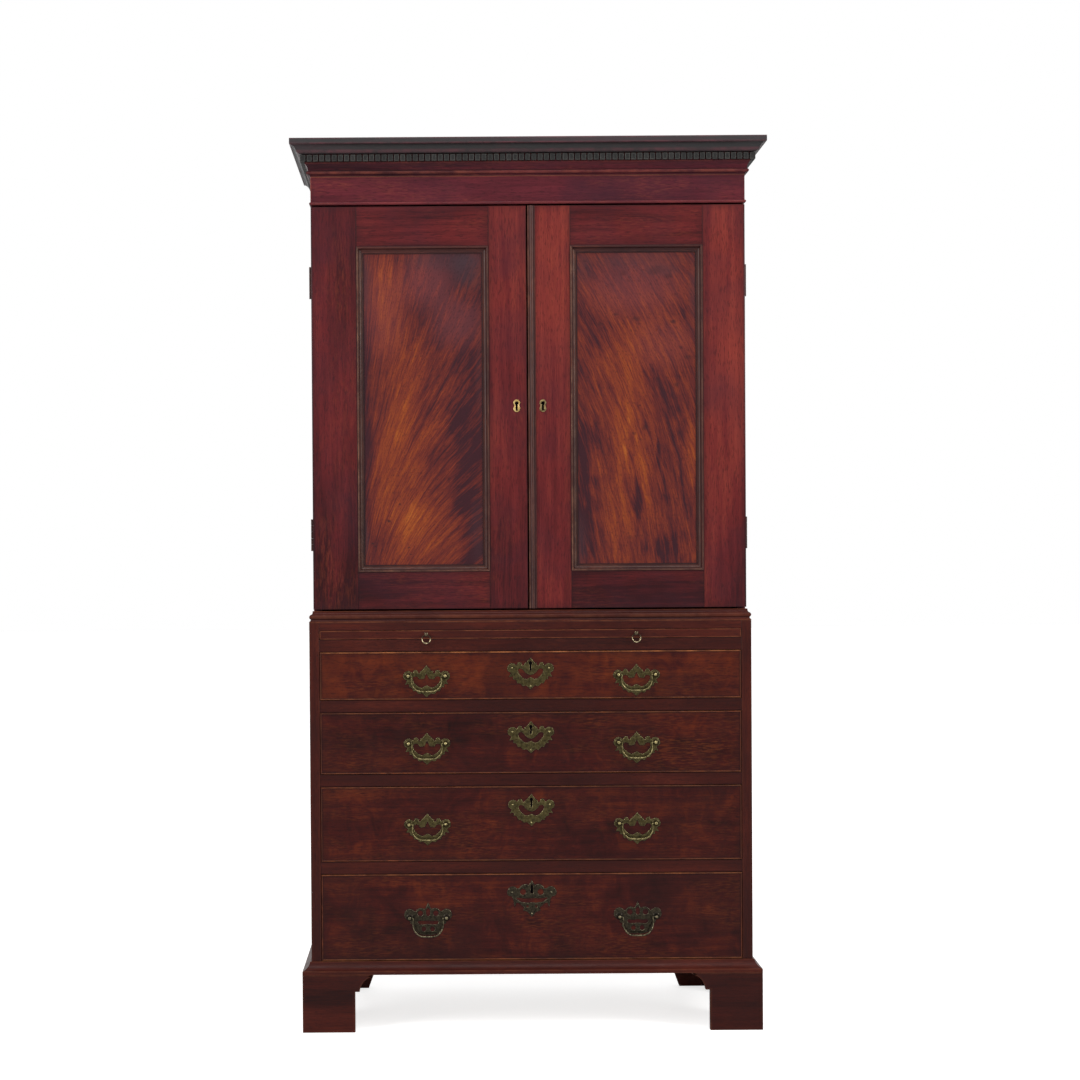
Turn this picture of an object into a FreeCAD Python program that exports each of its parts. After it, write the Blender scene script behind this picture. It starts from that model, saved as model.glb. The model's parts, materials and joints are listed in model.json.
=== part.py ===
import FreeCAD, Part
import math
import os
from FreeCAD import Placement, Rotation, Vector

# A mahogany linen press of two cases: a cupboard with a pair of panelled doors over sliding trays,
# standing on a chest of four cockbeaded drawers with a brushing slide and bracket feet.
# Millimetres, +Z up. The front faces -Y. The origin is on the floor, under the middle of the overall box.

doc = FreeCAD.newDocument("linen_press")

# ---------------------------------------------------------------- driving dimensions

DIMENSIONS = (
    # widths and depths of the two cases
    ("upper_width", 1034, "width of the cupboard and of its closed doors"),
    ("upper_depth", 545, "depth of the cupboard with its doors shut"),
    ("case_step", 10, "how far the chest stands out past the cupboard, on each side and in front"),
    # heights, from the floor up
    ("foot_height", 137, "bracket feet"),
    ("base_moulding_height", 30, "moulding round the foot of the chest"),
    ("drawer_4_opening", 208, "bottom drawer's opening"),
    ("drawer_3_opening", 180, "third drawer's opening"),
    ("drawer_2_opening", 148, "second drawer's opening"),
    ("drawer_1_opening", 116, "top drawer's opening"),
    ("rail_thickness", 29, "rails between the drawers"),
    ("slide_opening", 22, "slot for the brushing slide"),
    ("lower_top_thickness", 18, "top board of the chest"),
    ("waist_height", 28, "moulding round the waist"),
    ("door_bottom_gap", 4, "daylight under the doors"),
    ("door_height", 959, "doors"),
    ("door_top_gap", 4, "daylight over the doors"),
    ("frieze_bead_height", 7, "bead at the foot of the frieze"),
    ("frieze_height", 60, "plain frieze"),
    ("cornice_height", 85, "cornice over the frieze"),
    # how far the mouldings stand out
    ("base_projection", 21, "base moulding and feet, past the chest"),
    ("waist_projection", 12, "waist moulding, past the cupboard"),
    ("waist_hollow_depth", 5, "hollows of the waist moulding"),
    ("waist_hollow_sag", 1.2, "hollows of the waist moulding, from their chords"),
    ("waist_bead_height", 10, "bead of the waist moulding"),
    ("waist_fillet_height", 4, "fillet on top of the waist moulding"),
    ("base_flat_height", 9, "flat face at the foot of the base moulding"),
    ("base_hollow_depth", 3, "hollow of the base moulding, from its chord"),
    ("base_fillet_height", 3, "fillet on top of the base moulding"),
    ("base_fillet_projection", 4, "fillet on top of the base moulding"),
    ("frieze_bead_projection", 3, "frieze bead"),
    ("cornice_projection", 47, "cornice, past the frieze"),
    # members of the cornice, from the frieze up
    ("cornice_hollow_height", 5, "hollow over the frieze"),
    ("cornice_hollow_projection", 4, "hollow over the frieze"),
    ("cornice_bead_height", 8, "bead over the hollow"),
    ("cornice_hollow_depth", 0.8, "hollow over the frieze, from its chord"),
    ("cornice_bead_step", 1, "upper edge of the bead, past its lower edge"),
    ("cornice_bead_rise", 5.5, "bead, past the hollow"),
    ("cornice_cove_height", 18, "cove over the bead"),
    ("cornice_cove_depth", 2.2, "cove, from its chord"),
    ("dentil_back_projection", 13, "flat band behind the dentils"),
    ("dentil_margin", 2, "flat band, under and over the dentils"),
    ("ogee_foot_projection", 25, "foot of the ogee"),
    ("ogee_turn_projection", 8, "where the ogee turns from round to hollow, past its foot"),
    ("ogee_bulge", 1.6, "each half of the ogee, from its chord"),
    ("cornice_fillet_height", 14, "fillet at the top"),
    ("cornice_fillet_rise", 3, "fillet, past the ogee"),
    # boards
    ("lower_side_thickness", 24, "chest sides"),
    ("upper_side_thickness", 20, "cupboard sides"),
    ("bottom_thickness", 22, "bottom boards of both cases"),
    ("upper_top_thickness", 18, "top board of the cupboard"),
    ("back_thickness", 12, "back boards"),
    ("back_board_count", 6, "boards side by side in each back"),
    ("rail_depth", 70, "rails, front to back"),
    ("dust_board_thickness", 10, "dust boards behind the rails"),
    ("cornice_frame_thickness", 20, "boards of the frame behind the cornice"),
    # doors
    ("door_thickness", 23, "door stiles and rails"),
    ("door_back_gap", 1, "between a shut door and the case"),
    ("door_meeting_gap", 3.5, "between the two doors"),
    ("meeting_offset", 2.5, "middle of the gap between the doors, left of the middle of the press"),
    ("left_hinge_stile_width", 108, "left door's stile on the hinge side"),
    ("left_meeting_stile_width", 90, "left door's stile on the meeting side"),
    ("right_hinge_stile_width", 101, "right door's stile on the hinge side"),
    ("right_meeting_stile_width", 101, "right door's stile on the meeting side"),
    ("top_rail_width", 95, "door top rail"),
    ("bottom_rail_width", 89, "door bottom rail"),
    ("panel_recess", 9, "door panel's face, behind the frame's face"),
    ("panel_thickness", 7, "door panel"),
    ("panel_tongue", 6, "panel edge held in the frame's groove"),
    ("panel_moulding_width", 17, "moulding round the panel"),
    ("panel_moulding_rise", 10.5, "moulding round the panel, from the panel's face"),
    ("panel_moulding_top_width", 4, "flat top of the moulding, beside the frame"),
    ("panel_moulding_bulge", 2, "round of the moulding, from its chord"),
    ("panel_moulding_fillet", 2, "edge of the moulding on the panel"),
    ("astragal_fillet_rise", 2, "flat edges of that bead, past the door's face"),
    ("astragal_fillet", 4, "flat edges of the bead down the meeting edge"),
    ("astragal_width", 18, "bead down the meeting edge of the right door"),
    ("astragal_rise", 5, "bead down the meeting edge, past the door's face"),
    # hinges
    ("hinge_height", 76, "butt hinges"),
    ("hinge_leaf_width", 16, "hinge leaf, from the knuckle"),
    ("hinge_leaf_thickness", 1.6, "hinge leaf"),
    ("hinge_knuckle_radius", 2.6, "hinge knuckles"),
    ("hinge_pin_radius", 1.1, "hinge pins"),
    ("hinge_pin_clearance", 0.05, "round a hinge pin, in the door's knuckles"),
    ("hinge_end_gap", 0.4, "between one knuckle and the next"),
    ("hinge_end_distance", 140, "from a door's end to its hinge"),
    # drawers
    ("drawer_front_thickness", 20, "drawer fronts"),
    ("drawer_gap", 1, "round a drawer front, in its opening"),
    ("cockbead_thickness", 3, "cockbead, seen from the front"),
    ("cockbead_rise", 1.8, "cockbead, past the drawer front"),
    ("drawer_side_thickness", 11, "drawer sides and backs"),
    ("drawer_bottom_thickness", 8, "drawer bottoms"),
    ("drawer_bottom_height", 9, "drawer bottom, over the lower edge of the sides"),
    ("drawer_side_drop", 6, "drawer side's upper edge, below the front's"),
    ("drawer_back_drop", 14, "drawer back's upper edge, below the side's"),
    ("drawer_back_gap", 12, "behind a shut drawer"),
    # brushing slide
    ("slide_gap", 0.8, "round the brushing slide, in its slot"),
    ("slide_depth", 430, "brushing slide, front to back"),
    ("slide_clamp_width", 50, "cross-grained ends and front of the brushing slide"),
    # handles
    ("left_handle_offset", 248, "left handles, from the middle of the press"),
    ("right_handle_offset", 252.5, "right handles, from the middle of the press"),
    ("post_spacing", 88, "between a handle's two posts"),
    ("post_reach", 15, "bail's pivot, in front of the drawer"),
    ("post_head_radius", 6, "round head of a post"),
    ("post_shank_radius", 2.5, "threaded shank of a post"),
    ("post_nut_radius", 6.5, "nut inside the drawer"),
    ("post_nut_thickness", 3, "nut inside the drawer"),
    ("plate_thickness", 1.6, "brass plates"),
    ("plate_height", 76.5, "plates of the three upper drawers"),
    ("deep_plate_height", 80, "plates of the bottom drawer"),
    ("crown_hole_radius", 6, "round piercings of the bottom drawer's plates"),
    ("bail_arm_spacing", 71, "between a bail's two arms"),
    ("bail_drop", 37, "bail, below its pivot"),
    ("deep_bail_drop", 43, "bail of the bottom drawer, below its pivot"),
    ("bail_corner_radius", 22, "bends of a bail"),
    ("bail_radius", 2.2, "half the thickness of a bail"),
    ("bail_pin_radius", 1.6, "pin at each end of a bail"),
    ("bail_pin_length", 5, "pin inside its post"),
    ("bail_pin_clearance", 0.06, "round a bail's pin"),
    ("ring_radius", 10.5, "pull ring of the slide, at the middle of its wire"),
    ("ring_wire_radius", 1.7, "half the thickness of a pull ring"),
    ("ring_clearance", 0.5, "round a pull ring's wire, in its eye"),
    ("ring_reach", 9, "pull ring, in front of the slide"),
    ("eye_radius", 4.2, "eye that holds a pull ring"),
    ("eye_thickness", 3, "eye that holds a pull ring"),
    ("eye_shank_radius", 1.2, "shank of a pull ring's eye"),
    ("eye_depth", 14, "shank of a pull ring's eye, inside the slide"),
    # keyholes and locks
    ("keyhole_radius", 3.2, "round top of a keyhole"),
    ("keyhole_length", 17, "keyhole, below the middle of its round top"),
    ("escutcheon_width", 16, "door escutcheons"),
    ("escutcheon_height", 30, "door escutcheons"),
    ("escutcheon_rise", 9, "top of a door escutcheon, over the middle of the keyhole's round top"),
    ("drawer_1_keyhole_drop", 38, "keyhole, below the drawer's upper edge"),
    ("drawer_2_keyhole_drop", 45, "keyhole, below the drawer's upper edge"),
    ("drawer_3_keyhole_drop", 42, "keyhole, below the drawer's upper edge"),
    ("drawer_4_keyhole_drop", 39, "keyhole, below the drawer's upper edge"),
    ("door_keyhole_height", 489, "door keyholes, over the lower edge of the doors"),
    ("left_keyhole_inset", 24.5, "left door's keyhole, from the meeting edge"),
    ("right_keyhole_inset", 34.5, "right door's keyhole, from the meeting edge"),
    ("lock_width", 70, "lock cases"),
    ("lock_height", 50, "lock cases"),
    ("lock_thickness", 11, "lock cases"),
    # feet
    ("foot_board_thickness", 22, "boards of the bracket feet"),
    ("foot_width", 125, "foot, at the floor"),
    ("bracket_reach", 168, "foot, from the corner to the tip of its bracket"),
    ("bracket_leg_height", 97, "straight inner edge of a foot"),
    ("bracket_tip_height", 134, "tip of a bracket"),
    ("bracket_step", 11, "step between the straight edge and the curve"),
    ("bracket_curve_depth", 8, "curve of a bracket, from its chord"),
    ("rear_bracket_foot", 140, "rear bracket, at the floor"),
    ("rear_bracket_reach", 190, "rear bracket, under the case"),
    ("corner_block_size", 45, "glue block inside each foot"),
    # dentils
    ("dentil_pitch", 14.7, "from one dentil to the next"),
    ("dentil_gap", 3, "between two dentils"),
    ("dentil_height", 16, "dentils"),
    ("dentil_projection", 10, "dentils, past the moulding behind them"),
    ("dentil_root", 2, "what is left of the strip in the gap between two dentils"),
    # linen trays
    ("tray_count", 4, "sliding linen trays"),
    ("tray_height", 70, "tray sides"),
    ("tray_front_height", 45, "low front of a tray"),
    ("tray_board_thickness", 10, "tray sides, front and back"),
    ("tray_bottom_thickness", 7, "tray bottoms"),
    ("tray_gap", 2, "between a tray and the cupboard's sides"),
    ("tray_front_gap", 12, "between the trays and the doors"),
    ("tray_first_height", 20, "lowest runner, over the cupboard's bottom board"),
    ("tray_pitch", 225, "from one tray to the next"),
    ("runner_width", 18, "tray runners"),
    ("runner_height", 15, "tray runners"),
)

sheet = doc.addObject("Spreadsheet::Sheet", "dims")
for row, (alias, size, meaning) in enumerate(DIMENSIONS, 1):
    sheet.set(f"A{row}", meaning)
    sheet.set(f"B{row}", str(size))
    sheet.setAlias(f"B{row}", alias)
doc.recompute()


def value(expression):
    """The number that an expression on the sheet comes to."""
    return float(sheet.evalExpression(expression))


def dim(alias):
    """The number in one cell."""
    return value(f"dims.{alias}")


def plus(*terms):
    return "(" + " + ".join(terms) + ")"


def minus(first, *others):
    return "(" + " - ".join((first,) + others) + ")"


# ---------------------------------------------------------------- named levels and faces

BASE_TOP = plus("dims.foot_height", "dims.base_moulding_height")
DRAWERS = ("1", "2", "3", "4")  # from the top
DRAWER_BOTTOM = {}
level = BASE_TOP
for number in reversed(DRAWERS):
    DRAWER_BOTTOM[number] = level
    level = plus(level, f"dims.drawer_{number}_opening", "dims.rail_thickness")
SLIDE_BOTTOM = level
SLIDE_TOP = plus(SLIDE_BOTTOM, "dims.slide_opening")
LOWER_TOP = plus(SLIDE_TOP, "dims.lower_top_thickness")
WAIST_TOP = plus(LOWER_TOP, "dims.waist_height")
DOOR_BOTTOM = plus(WAIST_TOP, "dims.door_bottom_gap")
DOOR_TOP = plus(DOOR_BOTTOM, "dims.door_height")
BEAD_BOTTOM = plus(DOOR_TOP, "dims.door_top_gap")
BEAD_TOP = plus(BEAD_BOTTOM, "dims.frieze_bead_height")
FRIEZE_TOP = plus(BEAD_TOP, "dims.frieze_height")
CORNICE_TOP = plus(FRIEZE_TOP, "dims.cornice_height")

UPPER_SIDE = "(dims.upper_width / 2)"
LOWER_SIDE = plus(UPPER_SIDE, "dims.case_step")
UPPER_INSIDE = minus(UPPER_SIDE, "dims.upper_side_thickness")
LOWER_INSIDE = minus(LOWER_SIDE, "dims.lower_side_thickness")

BACK = "((dims.upper_depth + dims.cornice_projection) / 2)"
BACK_INSIDE = minus(BACK, "dims.back_thickness")
DOOR_FRONT = minus(BACK, "dims.upper_depth")
DOOR_BACK = plus(DOOR_FRONT, "dims.door_thickness")
CASE_FRONT = plus(DOOR_BACK, "dims.door_back_gap")
LOWER_FRONT = minus(DOOR_FRONT, "dims.case_step")
DRAWER_INSIDE = plus(LOWER_FRONT, "dims.drawer_front_thickness")

LEFT, RIGHT = -1, 1
MEETING_EDGES = {  # how far out each door's meeting edge is on its own side
    LEFT: "(dims.door_meeting_gap / 2 + dims.meeting_offset)",
    RIGHT: "(dims.door_meeting_gap / 2 - dims.meeting_offset)",
}
SIDES = ((LEFT, "left"), (RIGHT, "right"))
TOUCH = 0.001  # smallest length that the modelling kernel keeps apart


# ---------------------------------------------------------------- ways of making a piece

def board(name, x, y, z):
    """A squared board. Each axis has the expressions of its low and its high face."""
    box = doc.addObject("Part::Box", name)
    for size, axis, (low, high) in (("Length", "x", x), ("Width", "y", y), ("Height", "z", z)):
        box.setExpression(size, minus(high, low))
        box.setExpression(f"Placement.Base.{axis}", low)
    return box


def on_side(side, inner, outer):
    """Low and high faces of a piece that lies between two distances to the left or right."""
    if side == RIGHT:
        return inner, outer
    return f"(-{outer})", f"(-{inner})"


def between(outer):
    """Faces as far to the left of the middle as to the right."""
    return f"(-{outer})", outer


def rod(name, radius, length, base, direction):
    """A round rod from a point, whose coordinates are expressions, along a direction."""
    cylinder = doc.addObject("Part::Cylinder", name)
    cylinder.setExpression("Radius", radius)
    cylinder.setExpression("Height", length)
    cylinder.Placement = Placement(Vector(), Rotation(Vector(0, 0, 1), direction))
    for axis, place in zip("xyz", base):
        cylinder.setExpression(f"Placement.Base.{axis}", place)
    return cylinder


def cut(name, base, *tools):
    """A piece with other shapes cut out of it."""
    result = doc.addObject("Part::Cut", name)
    result.Base = base
    result.Tool = tools[0] if len(tools) == 1 else group(name + "_tools", tools)
    return result


def fuse(name, *pieces):
    result = doc.addObject("Part::MultiFuse", name)
    result.Shapes = list(pieces)
    return result


def group(name, pieces):
    result = doc.addObject("Part::Compound", name)
    result.Links = list(pieces)
    return result


nodes = []


def node(label, *pieces):
    """A named sub-part, of one solid or of several separate ones."""
    result = pieces[0] if len(pieces) == 1 else group(label, pieces)
    result.Label = label
    nodes.append(result)
    return result


def feature(name, shape):
    result = doc.addObject("Part::Feature", name)
    result.Shape = shape
    return result


def point(x, y):
    return Vector(x, y, 0)


def outline(start, *steps):
    """Edges of a closed flat outline. A step is a corner, or a point on an arc and the arc's end."""
    edges = []
    here = start
    for step in steps + (start,):
        if isinstance(step[0], tuple):
            through, end = step
            edges.append(Part.Arc(point(*here), point(*through), point(*end)))
        elif math.dist(here, step) > TOUCH:
            end = step
            edges.append(Part.LineSegment(point(*here), point(*end)))
        else:
            end = here
        here = end
    return edges


def padded(name, edges, thickness, plane="XZ_Plane"):
    """A body padded from a sketch on one of its own planes. A pad on the XZ plane grows to -Y."""
    body = doc.addObject("PartDesign::Body", name)
    sketch = body.newObject("Sketcher::SketchObject", name + "_outline")
    support = [item for item in body.Origin.OriginFeatures if item.Role == plane][0]
    sketch.AttachmentSupport = (support, [""])
    sketch.MapMode = "FlatFace"
    for edge in edges:
        sketch.addGeometry(edge, False)
    pad = body.newObject("PartDesign::Pad", name + "_pad")
    pad.Profile = sketch
    pad.setExpression("Length", thickness)
    return body


def place(item, x="0", y="0", z="0"):
    """Moves a piece to a place given by expressions."""
    for axis, expression in zip("xyz", (x, y, z)):
        item.setExpression(f"Placement.Base.{axis}", expression)
    return item


# ---------------------------------------------------------------- mouldings

def straight_moulding(edges, start, run, outward, across, length):
    """A length of moulding. Its profile is drawn outward first, and across second."""
    face = Part.Face(Part.Wire([edge.toShape() for edge in edges]))
    face.Placement = Placement(start, Rotation(outward, across, outward.cross(across), "XYZ"))
    return face.extrude(run * length)


def mitred_moulding(name, edges, corners, outward, across, closed=False):
    """Separate lengths of one moulding along a path, each cut to the mitre where two lengths meet.

    outward holds one direction for each length.
    """
    reach = 2 * Part.Wire([edge.toShape() for edge in edges]).BoundBox.DiagonalLength
    count = len(outward)
    lengths = []
    for index in range(count):
        start = corners[index]
        end = corners[(index + 1) % len(corners)]
        run = (end - start).normalize()
        here = outward[index]
        before = outward[index - 1] if closed or index > 0 else Vector()
        after = outward[(index + 1) % count] if closed or index < count - 1 else Vector()
        plan = [
            start - (here + before) * reach,
            start + (here + before) * reach,
            end + (here + after) * reach,
            end - (here + after) * reach,
        ]
        wedge = Part.Face(Part.makePolygon(plan + plan[:1]))
        wedge = wedge.extrude(across * (2 * reach))
        wedge.translate(across * -reach)
        long_run = straight_moulding(edges, start - run * reach, run, here, across,
                                     start.distanceToPoint(end) + 2 * reach)
        lengths.append(feature(f"{name}_length_{index + 1}", long_run.common(wedge).Solids[0]))
    return lengths


def around_case(half_width, front, level_z, back):
    """Corners and outward directions of a moulding round three sides of a case."""
    half_width, front, level_z, back = map(value, (half_width, front, level_z, back))
    corners = [
        Vector(-half_width, back, level_z),
        Vector(-half_width, front, level_z),
        Vector(half_width, front, level_z),
        Vector(half_width, back, level_z),
    ]
    return corners, [Vector(-1, 0, 0), Vector(0, -1, 0), Vector(1, 0, 0)]


def corner_arc(start, end, bulge):
    """Middle point and end of an arc. A positive bulge is to the right of the way from start to end."""
    run_x, run_y = end[0] - start[0], end[1] - start[1]
    length = math.hypot(run_x, run_y)
    middle = ((start[0] + end[0]) / 2 + bulge * run_y / length,
              (start[1] + end[1]) / 2 - bulge * run_x / length)
    return middle, end


def cornice_profile():
    """Hollow, bead, cove, flat band, ogee and fillet. Flat at the back and on top."""
    hollow = (dim("cornice_hollow_projection"), dim("cornice_hollow_height"))
    bead_top = (hollow[0] + dim("cornice_bead_step"), hollow[1] + dim("cornice_bead_height"))
    band = dim("dentil_back_projection")
    cove_top = (band, bead_top[1] + dim("cornice_cove_height"))
    band_top = cove_top[1] + dim("dentil_height") + 2 * dim("dentil_margin")
    foot = (dim("ogee_foot_projection"), band_top)
    reach = dim("cornice_projection")
    height = dim("cornice_height")
    ogee_top = (reach - dim("cornice_fillet_rise"), height - dim("cornice_fillet_height"))
    turn = (foot[0] + dim("ogee_turn_projection"), (foot[1] + ogee_top[1]) / 2)
    ogee_bulge = dim("ogee_bulge")
    return outline(
        (0, 0),
        corner_arc((0, 0), hollow, -dim("cornice_hollow_depth")),
        corner_arc(hollow, bead_top, dim("cornice_bead_rise")),
        corner_arc(bead_top, cove_top, -dim("cornice_cove_depth")),
        (band, band_top),
        foot,
        corner_arc(foot, turn, ogee_bulge),
        corner_arc(turn, ogee_top, -ogee_bulge),
        (reach, ogee_top[1]),
        (reach, height),
        (0, height),
    )


def bead_profile(height, projection):
    """A half-round bead, flat at the back."""
    return outline((0, 0), ((projection, height / 2), (0, height)))


def waist_profile():
    """From the chest up: a shoulder, a hollow, a bead, a hollow and a fillet."""
    reach = dim("waist_projection")
    height = dim("waist_height")
    fillet = dim("waist_fillet_height")
    bead = dim("waist_bead_height")
    hollow = reach - dim("waist_hollow_depth")
    bead_foot = (height - fillet - bead) / 2
    bead_start = (hollow, bead_foot)
    bead_end = (hollow, bead_foot + bead)
    step = dim("case_step")
    sag = dim("waist_hollow_sag")
    return outline(
        (0, 0),
        (step, 0),
        corner_arc((step, 0), bead_start, -sag),
        corner_arc(bead_start, bead_end, reach - hollow),
        corner_arc(bead_end, (step, height - fillet), -sag),
        (step, height),
        (0, height),
    )


def base_profile():
    """From the feet up: a flat face, a hollow and a small fillet."""
    reach = dim("base_projection")
    height = dim("base_moulding_height")
    flat = dim("base_flat_height")
    fillet = dim("base_fillet_projection")
    hollow_top = (fillet, height - dim("base_fillet_height"))
    return outline(
        (0, 0),
        (reach, 0),
        (reach, flat),
        corner_arc((reach, flat), hollow_top, -dim("base_hollow_depth")),
        (fillet, height),
        (0, height),
    )


def panel_moulding_profile():
    """From the panel's face up: a small fillet and an ovolo against the frame."""
    width = dim("panel_moulding_width")
    rise = dim("panel_moulding_rise")
    fillet = dim("panel_moulding_fillet")
    shoulder = (dim("panel_moulding_top_width"), rise)
    return outline(
        (0, 0),
        (width, 0),
        (width, fillet),
        corner_arc((width, fillet), shoulder, dim("panel_moulding_bulge")),
        (0, rise),
    )


def astragal_profile():
    """Two flat fillets with a round bead between them."""
    width = dim("astragal_width")
    fillet = dim("astragal_fillet")
    rise = dim("astragal_rise")
    low = dim("astragal_fillet_rise")
    return outline(
        (0, 0),
        (width, 0),
        (width, low),
        (width - fillet, low),
        ((width / 2, rise), (fillet, low)),
        (0, low),
    )


# ---------------------------------------------------------------- chest: case, mouldings and feet

def case_back(name, half_width, bottom, top):
    """Upright boards side by side between the two sides of a case."""
    count = int(dim("back_board_count"))
    width = f"(2 * {half_width} / dims.back_board_count)"
    boards = []
    for index in range(count):
        low = f"({index} * {width} - {half_width})"
        boards.append(board(
            f"{name}_{index + 1}", (low, plus(low, width)), (BACK_INSIDE, BACK), (bottom, top)))
    return node(name, *boards)


def chest_case():
    for side, word in SIDES:
        node(f"lower_side_{word}", board(
            f"lower_side_{word}", on_side(side, LOWER_INSIDE, LOWER_SIDE), (LOWER_FRONT, BACK),
            ("dims.foot_height", LOWER_TOP)))
    across = between(LOWER_INSIDE)
    depth = (LOWER_FRONT, BACK_INSIDE)
    node("lower_top_board", board("lower_top_board", across, depth, (SLIDE_TOP, LOWER_TOP)))
    node("lower_bottom_board", board(
        "lower_bottom_board", across, depth, (minus(BASE_TOP, "dims.bottom_thickness"), BASE_TOP)))
    case_back("lower_back_boards", LOWER_INSIDE, minus(BASE_TOP, "dims.bottom_thickness"), LOWER_TOP)
    rail_back = plus(LOWER_FRONT, "dims.rail_depth")
    rails = []
    dust_boards = []
    for number in DRAWERS:
        low = plus(DRAWER_BOTTOM[number], f"dims.drawer_{number}_opening")
        high = plus(low, "dims.rail_thickness")
        rails.append(board(f"drawer_rail_{number}", across, (LOWER_FRONT, rail_back), (low, high)))
        dust_boards.append(board(
            f"dust_board_{number}", across, (rail_back, BACK_INSIDE),
            (minus(high, "dims.dust_board_thickness"), high)))
    node("drawer_rails", *rails)
    node("dust_boards", *dust_boards)


def chest_mouldings():
    up = Vector(0, 0, 1)
    corners, outward = around_case(LOWER_SIDE, LOWER_FRONT, "dims.foot_height", BACK)
    node("base_moulding", *mitred_moulding("base_moulding", base_profile(), corners, outward, up))
    corners, outward = around_case(UPPER_SIDE, DOOR_FRONT, LOWER_TOP, BACK)
    node("waist_moulding", *mitred_moulding("waist_moulding", waist_profile(), corners, outward, up))


def bracket_outline():
    """A foot with its bracket, from the corner inward: first coordinate inward, second up."""
    step = dim("foot_width") + dim("bracket_step")
    leg = dim("bracket_leg_height")
    tip = (dim("bracket_reach"), dim("bracket_tip_height"))
    return (
        (0, 0),
        (dim("foot_width"), 0),
        (dim("foot_width"), leg),
        (step, leg),
        corner_arc((step, leg), tip, -dim("bracket_curve_depth")),
        (tip[0], dim("foot_height")),
        (0, dim("foot_height")),
    )


def rear_bracket_outline():
    """A plain bracket with a straight slanting edge."""
    return (
        (0, 0),
        (dim("rear_bracket_foot"), 0),
        (dim("rear_bracket_reach"), dim("foot_height")),
        (0, dim("foot_height")),
    )


def turned(points, side):
    """An outline drawn inward from the left, turned over for the right."""
    if side == LEFT:
        return points
    flipped = []
    for step in points:
        if isinstance(step[0], tuple):
            flipped.append(tuple((-x, y) for x, y in step))
        else:
            flipped.append((-step[0], step[1]))
    return tuple(flipped)


def feet():
    """Each foot is a front or rear board, a side board behind it, and a glue block in their corner."""
    outer = plus(LOWER_SIDE, "dims.base_projection")
    front = minus(LOWER_FRONT, "dims.base_projection")
    thickness = "dims.foot_board_thickness"
    front_pieces = []
    rear_pieces = []
    for side, word in SIDES:
        corner_x = f"({side} * {outer})"
        inner = minus(outer, thickness)
        front_board = padded(
            f"front_{word}_foot_front", outline(*turned(bracket_outline(), side)), thickness)
        place(front_board, corner_x, plus(front, thickness))
        rear_board = padded(
            f"rear_{word}_foot_back", outline(*turned(rear_bracket_outline(), side)), thickness)
        place(rear_board, corner_x, BACK)
        # On the YZ plane a pad grows to +X, so a left board starts on the outer face.
        side_x = corner_x if side == LEFT else f"({side} * {inner})"
        front_side = padded(f"front_{word}_foot_side", outline(*bracket_outline()), thickness, "YZ_Plane")
        place(front_side, side_x, plus(front, thickness))
        rear_side = padded(
            f"rear_{word}_foot_side", outline(*turned(bracket_outline(), RIGHT)), thickness, "YZ_Plane")
        place(rear_side, side_x, minus(BACK, thickness))
        block_x = on_side(side, minus(inner, "dims.corner_block_size"), inner)
        block_z = ("0", "dims.foot_height")
        front_y = plus(front, thickness)
        front_block = board(f"front_{word}_foot_block", block_x,
                            (front_y, plus(front_y, "dims.corner_block_size")), block_z)
        rear_y = minus(BACK, thickness)
        rear_block = board(f"rear_{word}_foot_block", block_x,
                           (minus(rear_y, "dims.corner_block_size"), rear_y), block_z)
        front_pieces += [front_board, front_side, front_block]
        rear_pieces += [rear_board, rear_side, rear_block]
    node("front_feet", *front_pieces)
    node("rear_feet", *rear_pieces)


# ---------------------------------------------------------------- cupboard: case, frieze, cornice, trays

def cupboard_case(case_leaves):
    """The cupboard. case_leaves holds the hinge leaves let into the front edges of each side."""
    for side, word in SIDES:
        plain = board(
            f"upper_side_{word}_board", on_side(side, UPPER_INSIDE, UPPER_SIDE), (CASE_FRONT, BACK),
            (LOWER_TOP, FRIEZE_TOP))
        node(f"upper_side_{word}", cut(f"upper_side_{word}", plain, *case_leaves[side]))
    across = between(UPPER_INSIDE)
    depth = (CASE_FRONT, BACK_INSIDE)
    bottom_top = plus(LOWER_TOP, "dims.bottom_thickness")
    node("upper_bottom_board", board("upper_bottom_board", across, depth, (LOWER_TOP, bottom_top)))
    top = minus(FRIEZE_TOP, "dims.upper_top_thickness")
    node("upper_top_board", board("upper_top_board", across, depth, (top, FRIEZE_TOP)))
    case_back("upper_back_boards", UPPER_INSIDE, LOWER_TOP, FRIEZE_TOP)
    strip = board(
        "upper_plinth_strip", between(UPPER_SIDE), (DOOR_FRONT, CASE_FRONT), (LOWER_TOP, WAIST_TOP))
    node("upper_plinth_strip", strip)


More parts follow.
